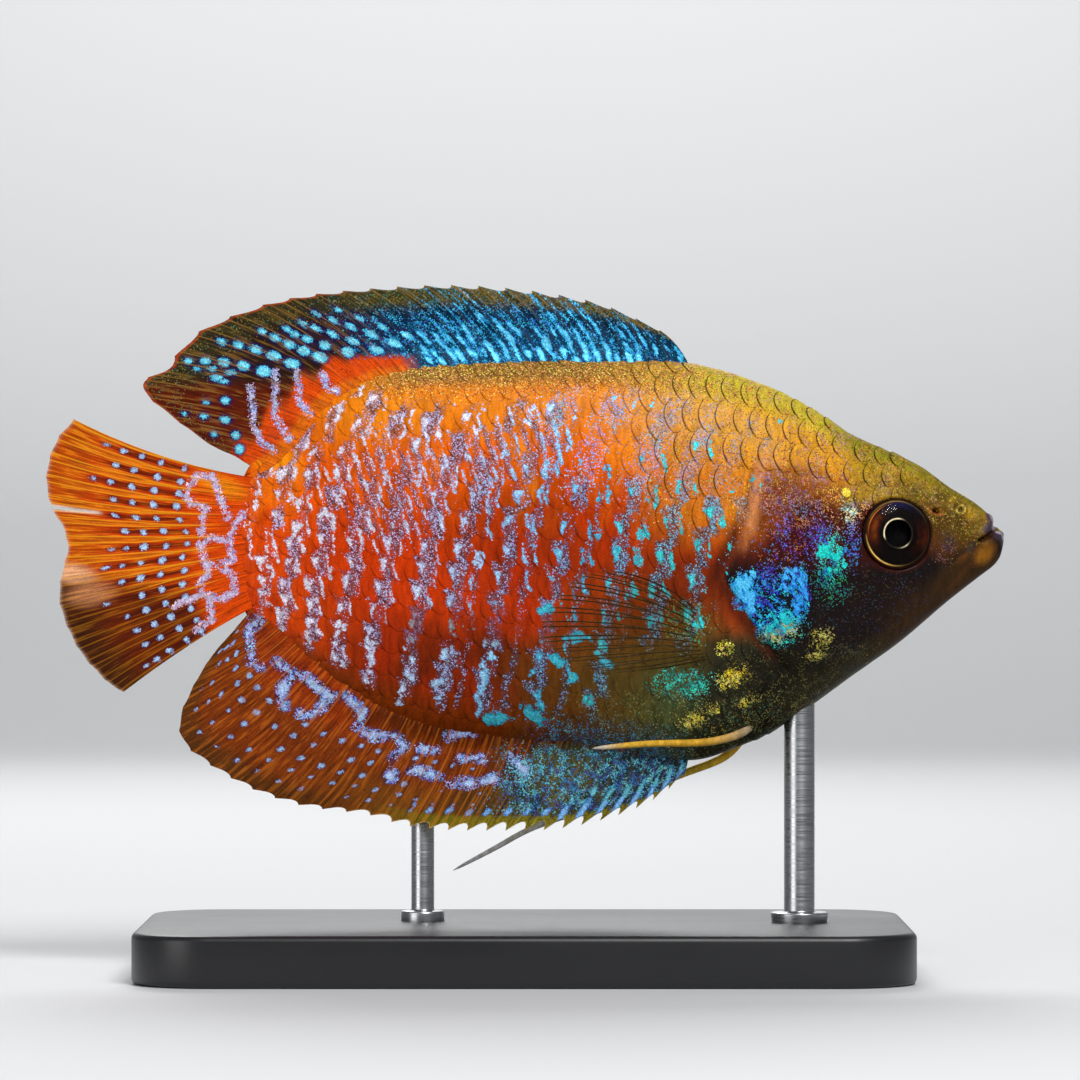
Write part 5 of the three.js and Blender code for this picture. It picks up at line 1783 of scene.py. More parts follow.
@dataclass
class TailFin(FinSheet):
    """The tail fin: orange with golden rays and lines of lilac-blue beads, browner in its lower lobe."""

    tear_at: float = 0.3115
    tear_from: float = 0.76
    tear_spread: float = 0.07

    def lay(self, share: Array, v: Array) -> Array:
        """Places points of the fin as FinSheet does, with the edges of its tear spread.

        Args:
            share: place across the fin, from its first ray to its last.
            v: place along the rays, from root to tip.

        Returns:
            Rows of X and Z in mm.
        """
        flat = super().lay(share, v)
        spread = self.tear_spread * smooth(self.tear_from, 1, v) * bell(share - self.tear_at, 0.05)
        flat[:, 1] += np.where(share < self.tear_at, spread, -spread)
        return flat

    def cut(self, piece: Piece, share: Array, v: Array) -> None:
        """Cuts the tear in from the fin's edge.

        Args:
            piece: the flat sheet.
            share: each vertex's place across the fin.
            v: each vertex's place along the rays.
        """
        def torn(face: bpy.types.MeshPolygon) -> bool:
            """Tells whether the tear runs through a face.

            Args:
                face: a face of the flat sheet.

            Returns:
                True if its corners lie on both sides of the tear.
            """
            corners = list(face.vertices)
            crossed = share[corners].min() < self.tear_at < share[corners].max()
            return crossed and v[corners].min() > self.tear_from

        pick(piece, Part.FACE, torn)
        bpy.ops.mesh.delete(type="FACE")
        bpy.ops.object.mode_set(mode="OBJECT")

    def colour(self, paint: Paint, at: FinPlace) -> None:
        """Lays orange, gold and brown, then beads and the rings at the root.

        Args:
            paint: the fin's paint.
            at: where its vertices lie among the rays.
        """
        x, z, v, tone = paint.x, paint.z, at.v, paint.tone
        off = np.abs(at.ray - np.round(at.ray))
        tone("C83E04", 1)
        tone("CC4204", smooth(0.34, 0.15, v) * 0.9)
        tone("5A1404", smooth(0.22, 0.42, off) * smooth(0.28, 0.4, v) * smooth(0.84, 0.66, v) * 0.85)
        tone("D07810", smooth(0.22, 0.08, off) * smooth(0.2, 0.4, v) * smooth(1, 0.85, v) * 0.5)
        tone("A8500A", smooth(0.7, 0.9, v) * 0.6)
        paint.ovals(1, ("E0820E", 0.8, -23.6, 4.2, 3, 1.2, -20))
        lower = smooth(-2.2, -4.8, z + 0.12 * (x + 30))
        tone("4A1804", lower * smooth(0.22, 0.4, v) * 0.85)
        tone("341A08", lower * smooth(0.7, 0.95, v) * 0.8)
        paint.ovals(1, ("F0B080", 0.85, -35.4, -2.6, 2.6, 1.1, -8), ("C88458", 0.6, -34, -4.2, 2.8, 1.4, 8))
        tone("C8A890", smooth(0.985, 0.995, v) * 0.6)
        lip = smooth(0.012, 0.004, np.abs(at.share - self.tear_at))
        tone("E8C8A8", lip * smooth(self.tear_from - 0.03, self.tear_from + 0.02, v) * 0.85)
        for line, size, stretch, shown in ((0.36, 0.24, 1, 0.9), (0.47, 0.26, 1, 1), (0.58, 0.25, 1.1, 1),
                                           (0.68, 0.19, 1.3, 0.9), (0.77, 0.13, 2, 0.5)):
            beads = at.beads((line,), size, stretch, shown, int(1000 * line))
            tone("3A0E20", smooth(-0.22, -0.02, beads) * 0.5)
            paint.patches("B4D4F4", beads)
        net = paint.net(
            ((-25.3, 0.5), (-25.2, 1.7), (-24.8, 2.4), (-26.1, 2.9), (-26.5, 3.5), (-26.1, 4.4), (-25.6, 5),
             (-24.4, 5), (-23.9, 3.7), (-23.2, 1.8)),
            ((-24.9, -1.9), (-25.4, -0.4), (-24.4, 0.2), (-23.1, -0.1), (-22.8, -1.5), (-23.9, -2),
             (-24.9, -1.9), (-24.7, -2.6), (-25.4, -3.4), (-25.2, -4.3), (-23.6, -4.6), (-22.6, -4),
             (-22.7, -2.8), (-23.9, -2)),
            ((-27.4, -5.2), (-25.3, -4.3)), ((-24.6, -4.8), (-24.5, -6.2), (-25.7, -7.1)),
            ((-23.1, -0.1), (-22.6, 1.2), (-22, 2)))
        paint.mixed("C8A8C8 A08CC0 DCC4D8", smooth(0.46, 0.16, net) * 0.8, 0.3, 643)
        paint.patches("D0C0E0", 0.1 - net + paint.waver(0.55, 0.3, 641))
        paint.darken(smooth(0.4, 0.16, net) * 0.12)
        between = smooth(0.3, 0.45, off) * smooth(0.85, 0.7, v)
        paint.trim[:, 2] = (0.85 - 0.62 * lower) * smooth(0.1, 0.3, v) * (1 - 0.75 * between)


@dataclass
class MedianFins:
    """Sizes of the three fins on the body's middle line."""

    form: BodyForm
    root_depth: float = 1.2
    sway_turns: float = 2.4

    def root_line(self, front: float, rear: float, knees: Points, up: bool) -> Callable[[Array], Array]:
        """Makes the root line of a fin on the back or belly.

        Args:
            front: X of the first ray's root.
            rear: X of the last ray's root.
            knees: how the roots crowd, as in kneed.
            up: whether the fin stands on the back.

        Returns:
            A function from a share across the fin to rows of X and Z.
        """
        line, sunk = (self.form.back, -self.root_depth) if up else (self.form.belly, self.root_depth)

        def place(share: Array) -> Array:
            """Gives rows of X and Z for shares across the fin."""
            x = front + (rear - front) * kneed(share, knees)
            return np.stack([x, line.at(SNOUT_X - x) + sunk], axis=1)

        return place

    def sway(self, reach: float, turns: float, start: float = 0) -> Callable[[Array, Array], Array]:
        """Makes a fin's wave: how far its edge swings in mm, in how many half turns, from which angle."""
        return lambda share, v: reach * v * v * np.sin(turns * math.pi * share + start)

    def fins(self) -> list[FinSheet]:
        """Lists the dorsal, anal and caudal fins.

        Returns:
            The three fins, not yet built.
        """
        tail_root = SNOUT_X - BODY_LENGTH + self.root_depth
        membrane = partial(LivingSkin, ragged=0.24)
        return [
            DorsalFin(
                "back_fin", "dorsal_fin", 24, self.root_line(13.2, -20.6, ((0.65, 0.74),), True),
                ((10.57, 16.41), (8.39, 17.5), (5.89, 18.52), (1.6, 19.38), (-2.69, 19.84), (-6.59, 19.96),
                 (-10.88, 19.77), (-15.95, 19.3), (-19.46, 18.67), (-22.97, 17.5), (-25.55, 16.26),
                 (-27.03, 14.85), (-28.04, 13.45), (-30.15, 12.2), (-29.21, 10.95), (-26.87, 9.08),
                 (-24.38, 7.36), (-22.19, 6.5)),
                ((0.65, 0.59),), (0.1, 0.02), (0.1, 0.02), self.sway(0.45, self.sway_turns), soft_from=0.62,
                slot="dorsal_fin",
                finish=membrane("back_fin_membrane", line_colour="8A6428", fibres=7, fray=0.2)),
            AnalFin(
                "under_fin", "anal_fin", 32,
                self.root_line(12.9, -21.4, ((0.16, 0.1), (0.53, 0.58), (0.8, 0.87)), False),
                ((12.44, -18.53), (10.57, -20.01), (9.01, -20.87), (5.89, -21.96), (1.99, -22.67),
                 (-1.91, -22.74), (-6.59, -22.67), (-9.71, -22.28), (-12.05, -21.57), (-17.51, -20.79),
                 (-21.41, -19.47), (-25.31, -17.13), (-26.79, -15.72), (-27.03, -14.16), (-26.25, -12.06),
                 (-24.53, -9.17), (-22.43, -6.83)),
                ((0.53, 0.47),), (0.2, 0.012), (0.04, 0.03), self.sway(-0.4, self.sway_turns), turned=-1,
                soft_from=0.5, columns=10, slot="anal_fin",
                finish=membrane("under_fin_membrane", line_colour="B8661A", fibres=6, fray=0.26)),
            TailFin(
                "tail_fin", "caudal_fin", 15, lambda u: np.stack([0 * u + tail_root, 4.9 - 10.2 * u], axis=1),
                ((-35.3, 9.47), (-36.47, 8.14), (-37.17, 6.66), (-37.48, 4.71), (-37.09, 2.61), (-36.23, 1.2),
                 (-35.76, -0.59), (-36.23, -2.7), (-36.39, -4.65), (-35.76, -6.83), (-34.52, -9.09),
                 (-32.18, -11.51), (-31.4, -11.9)),
                (), (0.006, 0.006), (-0.04, 0.02), self.sway(0.5, 2, 0.6), columns=18, rows=80,
                slot="caudal_fin", thick=(1.25, 0.7, 0.28, 0.1),
                finish=membrane("tail_fin_membrane", line_colour="E29618", fibres=9, fray=0.22)),
        ]


@dataclass
class Eye:
    """An eye: a clear cornea over a bowl of iris, with a ring round the deep pupil and a gold outer rim."""

    form: BodyForm
    side: Side
    radius: float = 2.74
    dome: float = 0.75
    back: float = 1.6
    forward: float = 13
    up: float = 4
    pupil: float = 1.12
    cornea: float = 0.1
    segments: int = 96
    ring_step: float = 0.045
    merge: float = 1e-7

    def place(self) -> Matrix:
        """Gives the turn and place of the eye, whose own axis is +Z, in metres.

        Returns:
            The matrix that sets the eye in its socket.
        """
        x, z = self.form.eye
        sign, lean, rise = self.side.value, math.radians(self.forward), math.radians(self.up)
        level = math.cos(rise)
        way = Vector((math.sin(lean) * level, sign * math.cos(lean) * level, math.sin(rise)))
        spot = Vector((x, sign * self.form.flank(x, z), z + FISH_LEVEL)) * MM
        return Matrix.Translation(spot) @ way.to_track_quat("Z", "Y").to_matrix().to_4x4()

    def build(self) -> tuple[Piece, Piece]:
        """Turns both profiles round the eye's axis.

        Returns:
            The iris with the back of the eyeball, and the cornea.
        """
        r, p, name = self.radius, self.pupil, self.side.name.lower()
        iris = ((0, -self.back), (r * 0.6, -self.back * 0.85), (r * 0.97, -self.back * 0.25), (r, -0.02),
                (r * 0.965, 0.06), (r * 0.9, 0.05), (r * 0.8, 0.12), (r * 0.6, 0.2), (p + 0.1, 0.27),
                (p + 0.02, 0.29), (p - 0.05, 0.25), (p - 0.08, 0.1), (p - 0.1, -0.5), (0, -0.6))
        run = run_along(np.array(iris))
        places = np.union1d(run, np.arange(0, run[-1], self.ring_step))
        ball = self.turn("eyeball_" + name, columns_at(places, run, np.array(iris)))
        angles = np.linspace(0, math.pi / 2, 14)
        outer = [(r * math.cos(a) * 0.985, self.dome * math.sin(a) + 0.05) for a in angles]
        inner = [(max(x - self.cornea, 0), y - self.cornea * 0.6) for x, y in reversed(outer)]
        return ball, self.turn("cornea_" + name, np.array([*inner, (r * 0.97, 0.01), *outer]))

    def turn(self, name: str, profile: Array) -> Piece:
        """Spins a profile into a closed shape.

        Args:
            name: name of the piece.
            profile: distances from the axis and heights along it, in mm.

        Returns:
            The piece, in place.
        """
        deselect()
        bpy.ops.mesh.primitive_circle_add(vertices=len(profile), radius=1)
        piece = start_piece(name)
        write_vertices(piece.data, np.insert(profile, 1, 0, axis=1) * MM)
        pick(piece, Part.EDGE, lambda edge: set(edge.vertices) == {0, len(profile) - 1})
        bpy.ops.mesh.delete(type="EDGE")
        bpy.ops.mesh.select_all(action="SELECT")
        bpy.ops.mesh.spin(steps=self.segments, angle=2 * math.pi, center=(0, 0, 0), axis=(0, 0, 1))
        bpy.ops.object.mode_set(mode="OBJECT")
        face_outward(piece, self.merge)
        piece.matrix_world = self.place()
        settle(piece)
        shade_smooth(piece, 50)
        return piece

    def paint(self, piece: Piece) -> None:
        """Colours the iris by its distance from the pupil, with a painted reflection at its top.

        Args:
            piece: the eyeball.
        """
        world = read_vertices(piece.data)
        back = self.place().inverted()
        local = (world @ np.array(back.to_3x3()).T + np.array(back.translation)) / MM
        ring = np.hypot(local[:, 0], local[:, 1]) / self.radius
        x, _, z = (world / MM - (0, 0, FISH_LEVEL)).T
        turn = np.arctan2(z - self.form.eye[1], x - self.form.eye[0])
        paint = Paint(x, z)
        paint.tone("080403", 1)
        fore, aft = np.exp((np.cos(turn + 0.15) - 1) / 0.12), np.exp((np.cos(turn - 2.9) - 1) / 0.16)
        band = smooth(0.52, 0.64, ring) * smooth(0.95, 0.86, ring)
        streaks = 0.45 + 0.55 * smooth(0.25, 0.7, paint.cloud(0.34, 701))
        glow = 0.012 + 0.9 * bell(turn + 2.35, 0.6) + 0.22 * bell(turn - 1.9, 0.6)
        paint.tone("4E1C08", np.maximum(fore * 0.5, aft) * band * streaks)
        # The dark blue arc at the top of the iris, 14123A, is a painted reflection: a bluish sheen on its
        # upper part
        for colour, within, cover in (("9A4810", (0.6, 0.68, 0.84, 0.72), aft**2 * 0.6 * streaks),
                                      ("C0661A", (0.845, 0.86, 0.89, 0.875), bell(turn - 2.5, 0.5) * 0.9),
                                      ("14123A", (0.68, 0.8, 0.92, 0.88), bell(turn - 1.5, 0.45) * 0.8),
                                      ("A87420", (0.885, 0.905, 0.965, 0.94), glow),
                                      ("F4D880", (0.9, 0.912, 0.938, 0.926), glow)):
            paint.tone(colour, smooth(*within[:2], ring) * smooth(*within[2:], ring) * cover)
        paint.tone("2A0E08", smooth(0.965, 0.985, ring))
        pupil = self.pupil / self.radius
        broken = np.maximum(smooth(1.0, 1.5, turn) + smooth(-2.6, -3.0, turn), bell(turn + 1.05, 0.3))
        shown = (0.015 + 0.985 * np.clip(broken, 0, 1) * streaks) * (local[:, 2] > 0.15)
        lit = smooth(pupil - 0.02, pupil, ring) * smooth(pupil + 0.036, pupil + 0.02, ring)
        paint.tone("F8E8BC", lit * shown)
        paint.tone("010101", (ring < pupil - 0.02) & (local[:, 2] > -0.7))
        paint.store(piece.data)

    def dress(self, ball: Piece, cornea: Piece) -> None:
        """Gives both pieces their materials and places.

        Args:
            ball: the eyeball with its iris.
            cornea: the clear cover over it.
        """
        ball.data.materials.append(LivingSkin("wet_iris", rough=0.6, gloss=0.08, coat=0, bump=0).make())
        cornea.data.materials.append(ClearCornea().make())
        cornea.visible_shadow = False
        for piece in (ball, cornea):
            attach(piece, ROOT)
        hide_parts("eye_" + self.side.name.lower())


@dataclass(frozen=True)
class ClearCornea:
    """Clear, wet tissue: light passes straight through, and its wet film gives the eye a sharp highlight."""

    name: str = "clear_cornea"
    ior: float = 1.34
    strength: float = 0.1
    wet_from: float = FISH_LEVEL + 1.2
    wet_rise: float = 0.9

    def make(self) -> bpy.types.Material:
        """Builds the material.

        Returns:
            The material.
        """
        material, node = new_material(self.name)
        height = node("SeparateXYZ", {0: node("TexCoord").outputs["Object"]}).outputs["Z"]
        upper = node("MapRange", {0: height, 1: self.wet_from * MM, 2: (self.wet_from + self.wet_rise) * MM})
        shown = node("Math", {0: node("Fresnel", {"IOR": self.ior}), 1: upper}, operation="MULTIPLY")
        shown = node("Math", {0: shown, 1: self.strength}, operation="MULTIPLY")
        inputs = {"Base Color": opaque("FDFDFB"), "Metallic": 1.0, "Roughness": 0.04, "Alpha": shown}
        node("OutputMaterial", {"Surface": node("BsdfPrincipled", inputs)})
        return material


@dataclass
class SideFin(FinSheet):
    """A pectoral fin: a clear fan with thin dark rays, set low behind the gill cover."""

    side: Side = Side.RIGHT
    base: tuple[float, float] = (14.3, -7.85)
    sunk: float = 0.55
    splay: float = 13
    bulge: float = 1.5
    ripple: float = 0.25

    def stand(self, form: BodyForm, piece: Piece) -> None:
        """Turns the finished fin out from the flank.

        Args:
            form: the body it grows from.
            piece: the fin, built flat at its own origin.
        """
        x, z = self.base
        out = form.flank(x, z) - self.sunk
        turn = Matrix.Rotation(math.radians(-self.side.value * self.splay), 4, "Z")
        place = Matrix.Translation(Vector((x, self.side.value * out, z)) * MM)
        raise_up = Matrix.Translation(Vector((0, 0, FISH_LEVEL)) * MM)
        piece.matrix_world = raise_up @ place @ turn @ raise_up.inverted()
        settle(piece)

    def colour(self, paint: Paint, at: FinPlace) -> None:
        """Lays a faint brown tint with dark paired rays.

        Args:
            paint: the fin's paint.
            at: where its vertices lie among the rays.
        """
        paint.tone("6A5426", 1)
        paint.trim[:, 0] += 0.012
        paint.trim[:, 2] = 0.95 * smooth(1.12, 0.9, at.v)

    @classmethod
    def of_side(cls, side: Side) -> "SideFin":
        """Gives the fin of one side its sizes.

        Args:
            side: which side it grows on.

        Returns:
            The fin, not yet built.
        """
        name = side.name.lower()
        return cls(
            "side_fin_" + name, "pectoral_fin_" + name, 13,
            lambda u: np.stack([0 * u, 1.35 - 2.7 * u], axis=1),
            ((-8.2, 5.5), (-10.7, 5.2), (-12.2, 3.7), (-13.5, 1.9), (-13.8, 0.4), (-12.3, -1), (-10.2, -2.2),
             (-8.2, -2.4)),
            (), (0.02, 0.02), (0.09, -0.02),
            lambda u, v: side.value * (cls.bulge * (1 - (1 - v) ** 2) + cls.ripple * v * np.cos(5 * u)),
            rows=48, thick=(0.3, 0.2, 0.1, 0.05), ray_rise=0.07, slot="pectoral_fin",
            finish=LivingSkin("clear_side_fin", line_colour="1E1208", clear=0.03, rough=0.3), side=side)


@dataclass
class Feeler:
    """A thread-like pelvic fin that trails back from the throat."""

    side: Side
    path: tuple[tuple[float, float, float], ...]
    radii: tuple[float, float] = (0.36, 0.2)
    tones: tuple[tuple[float, str], ...] = ((0, "8A8678"), (0.45, "C8962C"), (0.8, "D8A838"), (1, "B8B2A8"))
    rings: int = 60
    sides: int = 14
    merge: float = 1e-7

    def build(self) -> Piece:
        """Draws a curve along the path, bevels it round and turns it into a mesh.

        Returns:
            The feeler.
        """
        deselect()
        bpy.ops.curve.primitive_nurbs_path_add()
        piece = bpy.context.object
        piece.name = "feeler_" + self.side.name.lower()
        curve = piece.data
        curve.splines.clear()
        line = smooth_path([(x, self.side.value * y, z + FISH_LEVEL) for x, y, z in self.path], self.rings)
        spline = curve.splines.new("POLY")
        spline.points.add(self.rings - 1)
        for index, (point, place) in enumerate(zip(spline.points, line)):
            point.co = (*(place * MM), 1)
            share = index / (self.rings - 1)
            tip = math.sqrt(max(1 - share**14, 0.02))
            point.radius = (1 - share + self.radii[1] / self.radii[0] * share) * tip
        curve.dimensions = "3D"
        curve.bevel_depth = self.radii[0] * MM
        curve.bevel_resolution = self.sides // 2 - 1
        curve.use_fill_caps = True
        piece.select_set(True)
        bpy.ops.object.convert(target="MESH")
        piece = bpy.context.object
        face_outward(piece, self.merge)
        self.paint(piece, line)
        shade_smooth(piece, 60)
        return piece

    def paint(self, piece: Piece, line: Array) -> None:
        """Colours the feeler along its length.

        Args:
            piece: the feeler.
            line: points along its middle in mm.
        """
        points = read_vertices(piece.data) / MM
        apart = np.linalg.norm(points[:, None, :] - line[None, :, :], axis=2)
        share = np.argmin(apart, axis=1) / (self.rings - 1)
        paint = Paint(points[:, 0], points[:, 2] - FISH_LEVEL)
        paint.tone(self.tones[0][1], 1)
        for (start, _), (end, colour) in zip(self.tones, self.tones[1:]):
            paint.tone(colour, smooth(start, end, share))
        paint.store(piece.data)

    def dress(self, piece: Piece) -> None:
        """Gives the feeler its material and its place in the frame.

        Args:
            piece: the feeler.
        """
        piece.data.materials.append(LivingSkin("feeler_skin", grain=0.2, rough=0.35).make())
        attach(piece, ROOT)
        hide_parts("pelvic_feeler_" + self.side.name.lower())


@dataclass(frozen=True)
class SatinAcrylic:
    """Black acrylic sheet with a bead-blasted satin face: an even, soft reflection with the finest grain."""

    name: str = "satin_black_acrylic"
    colour: str = "1B1B1D"
    ior: float = 1.49
    grit: float = 0.25
    wipe_size: float = 14

    def make(self) -> bpy.types.Material:
        """Builds the material.

        Returns:
            The material.
        """
        material, node = new_material(self.name)
        place = node("TexCoord").outputs["Object"]
        blast = node("TexNoise", {"Vector": place, "Scale": 1 / (self.grit * MM), "Detail": 3.0})
        wipe = node("TexNoise", {"Vector": place, "Scale": 1 / (self.wipe_size * MM), "Detail": 2.0})
        rough = node("MapRange", {0: wipe, 1: 0.3, 2: 0.7, 3: 0.3, 4: 0.42})
        bump = node("Bump", {"Strength": 0.12, "Distance": 0.02 * MM, "Height": blast})
        inputs = {"Base Color": opaque(self.colour), "IOR": self.ior, "Roughness": rough, "Normal": bump}
        node("OutputMaterial", {"Surface": node("BsdfPrincipled", inputs)})
        return material


@dataclass(frozen=True)
class BrushedSteel:
    """Stainless rod, brushed round its length: fine rings that stretch the highlight."""

    name: str = "brushed_stainless_rod"
    colour: str = "B9BABC"
    stroke: float = 0.12
    squeeze: tuple[float, float, float] = (0.06, 0.06, 1)

    def make(self) -> bpy.types.Material:
        """Builds the material.

        Returns:
            The material.
        """
        material, node = new_material(self.name)
        place = node("Mapping", {"Vector": node("TexCoord").outputs["Object"], "Scale": self.squeeze})
        rings = node("TexNoise", {"Vector": place, "Scale": 1 / (self.stroke * MM), "Detail": 4.0})
        rough = node("MapRange", {0: rings, 1: 0.3, 2: 0.7, 3: 0.22, 4: 0.4})
        bump = node("Bump", {"Strength": 0.15, "Distance": 0.01 * MM, "Height": rings})
        inputs = {"Base Color": opaque(self.colour), "Metallic": 1.0, "Roughness": rough, "Normal": bump}
        node("OutputMaterial", {"Surface": node("BsdfPrincipled", inputs)})
        return material


@dataclass
class Stand:
    """A flat base with rounded corners and two slim rods up to the belly."""

    size: tuple[float, float, float] = (60, 36, 4)
    corner: float = 6
    bevel: float = 0.5
    rods: tuple[tuple[str, float, float, float, float], ...] = (
        ("front", 21.5, 0, 1.2, -10.6), ("rear", -8, 2, 0.9, -12.6))
    rod_foot: float = 0.5
    rod_bevel: float = 0.15
    collar: tuple[float, float] = (1.9, 0.8)

    def base(self) -> Piece:
        """Makes the base out of a block: upright corners rounded first, then every edge broken.

        Returns:
            The base.
        """
        deselect()
        long, deep, high = self.size
        bpy.ops.mesh.primitive_cube_add(
            size=1, location=(0, 0, high / 2 * MM), scale=(long * MM, deep * MM, high * MM))
        piece = start_piece("display_base")
        settle(piece)

        def upright(edge: bpy.types.MeshEdge) -> bool:
            """Tells whether an edge stands upright."""
            a, b = (piece.data.vertices[i].co.z for i in edge.vertices)
            return abs(a - b) > high / 2 * MM

        pick(piece, Part.EDGE, upright)
        bpy.ops.mesh.bevel(offset=self.corner * MM, segments=12, affect="EDGES")
        bpy.ops.object.mode_set(mode="OBJECT")
        rim = piece.modifiers.new("rim", "BEVEL")
        rim.width, rim.segments, rim.limit_method = self.bevel * MM, 4, "ANGLE"
        apply_modifiers(piece)
        shade_smooth(piece, 30)
        return piece

    def rod(self, name: str, x: float, y: float, radius: float, top: float) -> Piece:
        """Makes a rod with a turned collar where it stands in the base.

        Args:
            name: which rod it is.
            x: its place along the base.
            y: its place across the base.
            radius: its radius.
            top: height of its upper end on the fish's own level.

        Returns:
            The rod.
        """
        deselect()
        foot, end = self.size[2] - self.rod_foot, top + FISH_LEVEL
        middle = (x * MM, y * MM, (end + foot) / 2 * MM)
        bpy.ops.mesh.primitive_cylinder_add(
            vertices=48, radius=radius * MM, depth=(end - foot) * MM, location=middle)
        piece = start_piece("display_rod_" + name)
        settle(piece)
        bpy.ops.object.mode_set(mode="EDIT")
        bpy.ops.mesh.select_all(action="SELECT")
        level = (self.size[2] + self.collar[1]) * MM
        bpy.ops.mesh.bisect(plane_co=(0, 0, level), plane_no=(0, 0, 1))
        bpy.ops.object.mode_set(mode="OBJECT")
        pick(piece, Part.FACE, lambda face: face.center.z < level and abs(face.normal.z) < 0.5)
        grow = radius * (self.collar[0] - 1) * MM
        bpy.ops.mesh.extrude_region_shrink_fatten(TRANSFORM_OT_shrink_fatten={"value": grow})
        bpy.ops.object.mode_set(mode="OBJECT")
        soften = piece.modifiers.new("soften", "BEVEL")
        soften.width, soften.segments, soften.limit_method = self.rod_bevel * MM, 3, "ANGLE"
        soften.angle_limit = math.radians(50)
        apply_modifiers(piece)
        face_outward(piece)
        shade_smooth(piece, 35)
        return piece

    def build(self) -> list[Piece]:
        """Makes base and rods and dresses them.

        Returns:
            The pieces.
        """
        base = self.base()
        base.data.materials.append(SatinAcrylic().make())
        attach(base, ROOT)
        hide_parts("stand_base")
        pieces = [base]
        steel = BrushedSteel().make()
        for name, x, y, radius, top in self.rods:
            rod = self.rod(name, x, y, radius, top)
            rod.data.materials.append(steel)
            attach(rod, ROOT)
            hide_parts("stand_rod_" + name)
            pieces.append(rod)
        return pieces


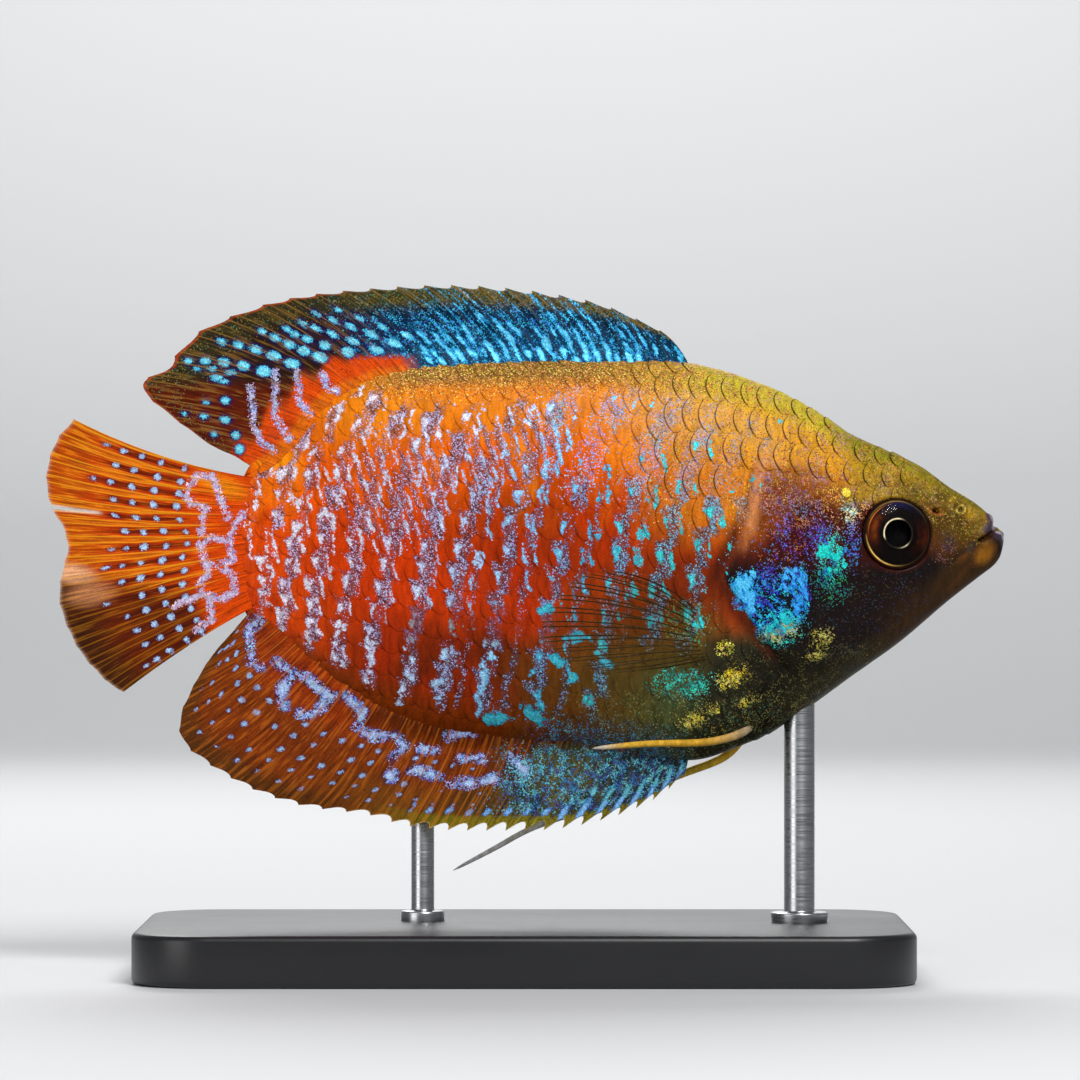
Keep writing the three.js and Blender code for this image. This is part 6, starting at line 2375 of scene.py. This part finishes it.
@dataclass
class Studio:
    """Pale floor, soft lights and the camera square to the fish's right side."""

    distance: float = 500
    lens: float = 213
    aim: tuple[float, float] = (1.21, 33.9)
    floor_colour: str = "D2D3D4"
    air_colour: str = "DDE2E8"
    air_strength: float = 0.2
    floor_run: float = 2.4
    floor_half: float = 1.6
    floor_front: float = 0.7
    floor_flat: float = 1.2
    floor_bend: float = 0.5

    def floor(self) -> None:
        """Lays a floor that curves up into a backdrop. Its sizes are in metres."""
        piece, across, along = grid_sheet("studio_floor", 4, 60)
        run, bend, radius = along * self.floor_run, self.floor_flat, self.floor_bend
        turn = np.clip((run - bend) / radius, 0, math.pi / 2)
        beyond = np.maximum(run - bend - radius * math.pi / 2, 0)
        y = np.minimum(run, bend) + radius * np.sin(turn) - self.floor_front
        z = radius * (1 - np.cos(turn)) + beyond
        write_vertices(piece.data, np.stack([(2 * across - 1) * self.floor_half, y, z], axis=1))
        shade_smooth(piece)
        material, node = new_material("pale_paper_sweep")
        inputs = {"Base Color": opaque(self.floor_colour), "Roughness": 0.8}
        node("OutputMaterial", {"Surface": node("BsdfPrincipled", inputs)})
        piece.data.materials.append(material)

    def light(self, name: str, spot: tuple[float, float, float], size: float, power: float,
              aim: tuple[float, float, float] = (0, 0, FISH_LEVEL)) -> None:
        """Hangs a square soft light.

        Args:
            name: name of the light.
            spot: its place in mm.
            size: its side in mm.
            power: its strength in watts.
            aim: the place that it points at, in mm.
        """
        lamp = bpy.data.lights.new(name, "AREA")
        lamp.size = size * MM
        lamp.energy = power
        holder = bpy.data.objects.new(name, lamp)
        bpy.context.scene.collection.objects.link(holder)
        holder.location = Vector(spot) * MM
        towards = Vector(aim) * MM - holder.location
        holder.rotation_euler = towards.to_track_quat("-Z", "Y").to_euler()

    def build(self) -> None:
        """Sets floor, lights, world and camera."""
        self.floor()
        self.light("key", (150, -400, 430), 220, 3.0)
        self.light("fill", (-420, -380, 120), 300, 0.7)
        self.light("rim", (-60, 380, 380), 260, 1.8)
        self.light("backdrop", (0, 560, 560), 500, 3.6, (0, 1500, 500))
        world = bpy.data.worlds.new("studio_air")
        world.use_nodes = True
        air = world.node_tree.nodes["Background"]
        air.inputs[0].default_value = opaque(self.air_colour)
        air.inputs[1].default_value = self.air_strength
        bpy.context.scene.world = world
        data = bpy.data.cameras.new("camera")
        data.lens = self.lens
        data.sensor_width = 36
        data.clip_start, data.clip_end = 0.01, 20
        camera = bpy.data.objects.new("camera", data)
        bpy.context.scene.collection.objects.link(camera)
        camera.location = Vector((self.aim[0], -self.distance, self.aim[1])) * MM
        camera.rotation_euler = (math.pi / 2, 0, 0)
        bpy.context.scene.camera = camera
        bpy.context.scene.view_settings.view_transform = "Standard"


def report(piece: Piece) -> None:
    """Logs a piece with its number of faces."""
    LOG.info("%s: %d faces", piece.name, len(piece.data.polygons))


def finish(maker: Skin | ScaleCoat | FinSheet | Feeler) -> None:
    """Builds, dresses and reports the piece of one class.

    Args:
        maker: the class that holds the piece's sizes.
    """
    piece = maker.build()
    maker.dress(piece)
    report(piece)


def main() -> None:
    """Builds the fish, its stand and the studio."""
    logging.basicConfig(level=logging.INFO, format="%(message)s")
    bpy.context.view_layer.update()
    form = BodyForm()
    markings = Markings(form)
    finish(Skin(form, markings))
    for side in Side:
        for span in (("front", 0, 31), ("rear", 31, BODY_LENGTH)):
            finish(ScaleCoat(form, markings, side, *span))
        eye = Eye(form, side)
        ball, cornea = eye.build()
        eye.paint(ball)
        eye.dress(ball, cornea)
        report(ball)
        report(cornea)
        fin = SideFin.of_side(side)
        piece = fin.build()
        fin.stand(form, piece)
        fin.dress(piece)
        report(piece)
    for fin in MedianFins(form).fins():
        finish(fin)
    finish(Feeler(
        Side.RIGHT,
        ((18.2, 1, -13.2), (17.4, 2.1, -14.7), (14.9, 3.2, -15.6), (9.4, 4.8, -15.8), (5.27, 6.6, -16.1))))
    finish(Feeler(
        Side.LEFT,
        ((18.2, 1, -13.2), (17.3, 1.9, -15.2), (15.9, 2.3, -16.9), (12.4, 2.8, -18.4), (6.5, 3.3, -20.6),
         (0.43, 4.2, -22.8), (-2.3, 4.6, -24.3), (-5.66, 4.8, -26.1)),
        tones=((0, "D8A028"), (0.3, "E0B83C"), (0.6, "D8D4B8"), (1, "E8E8EA"))))
    for piece in Stand().build():
        report(piece)
    Studio().build()


if __name__ == "__main__":
    main()
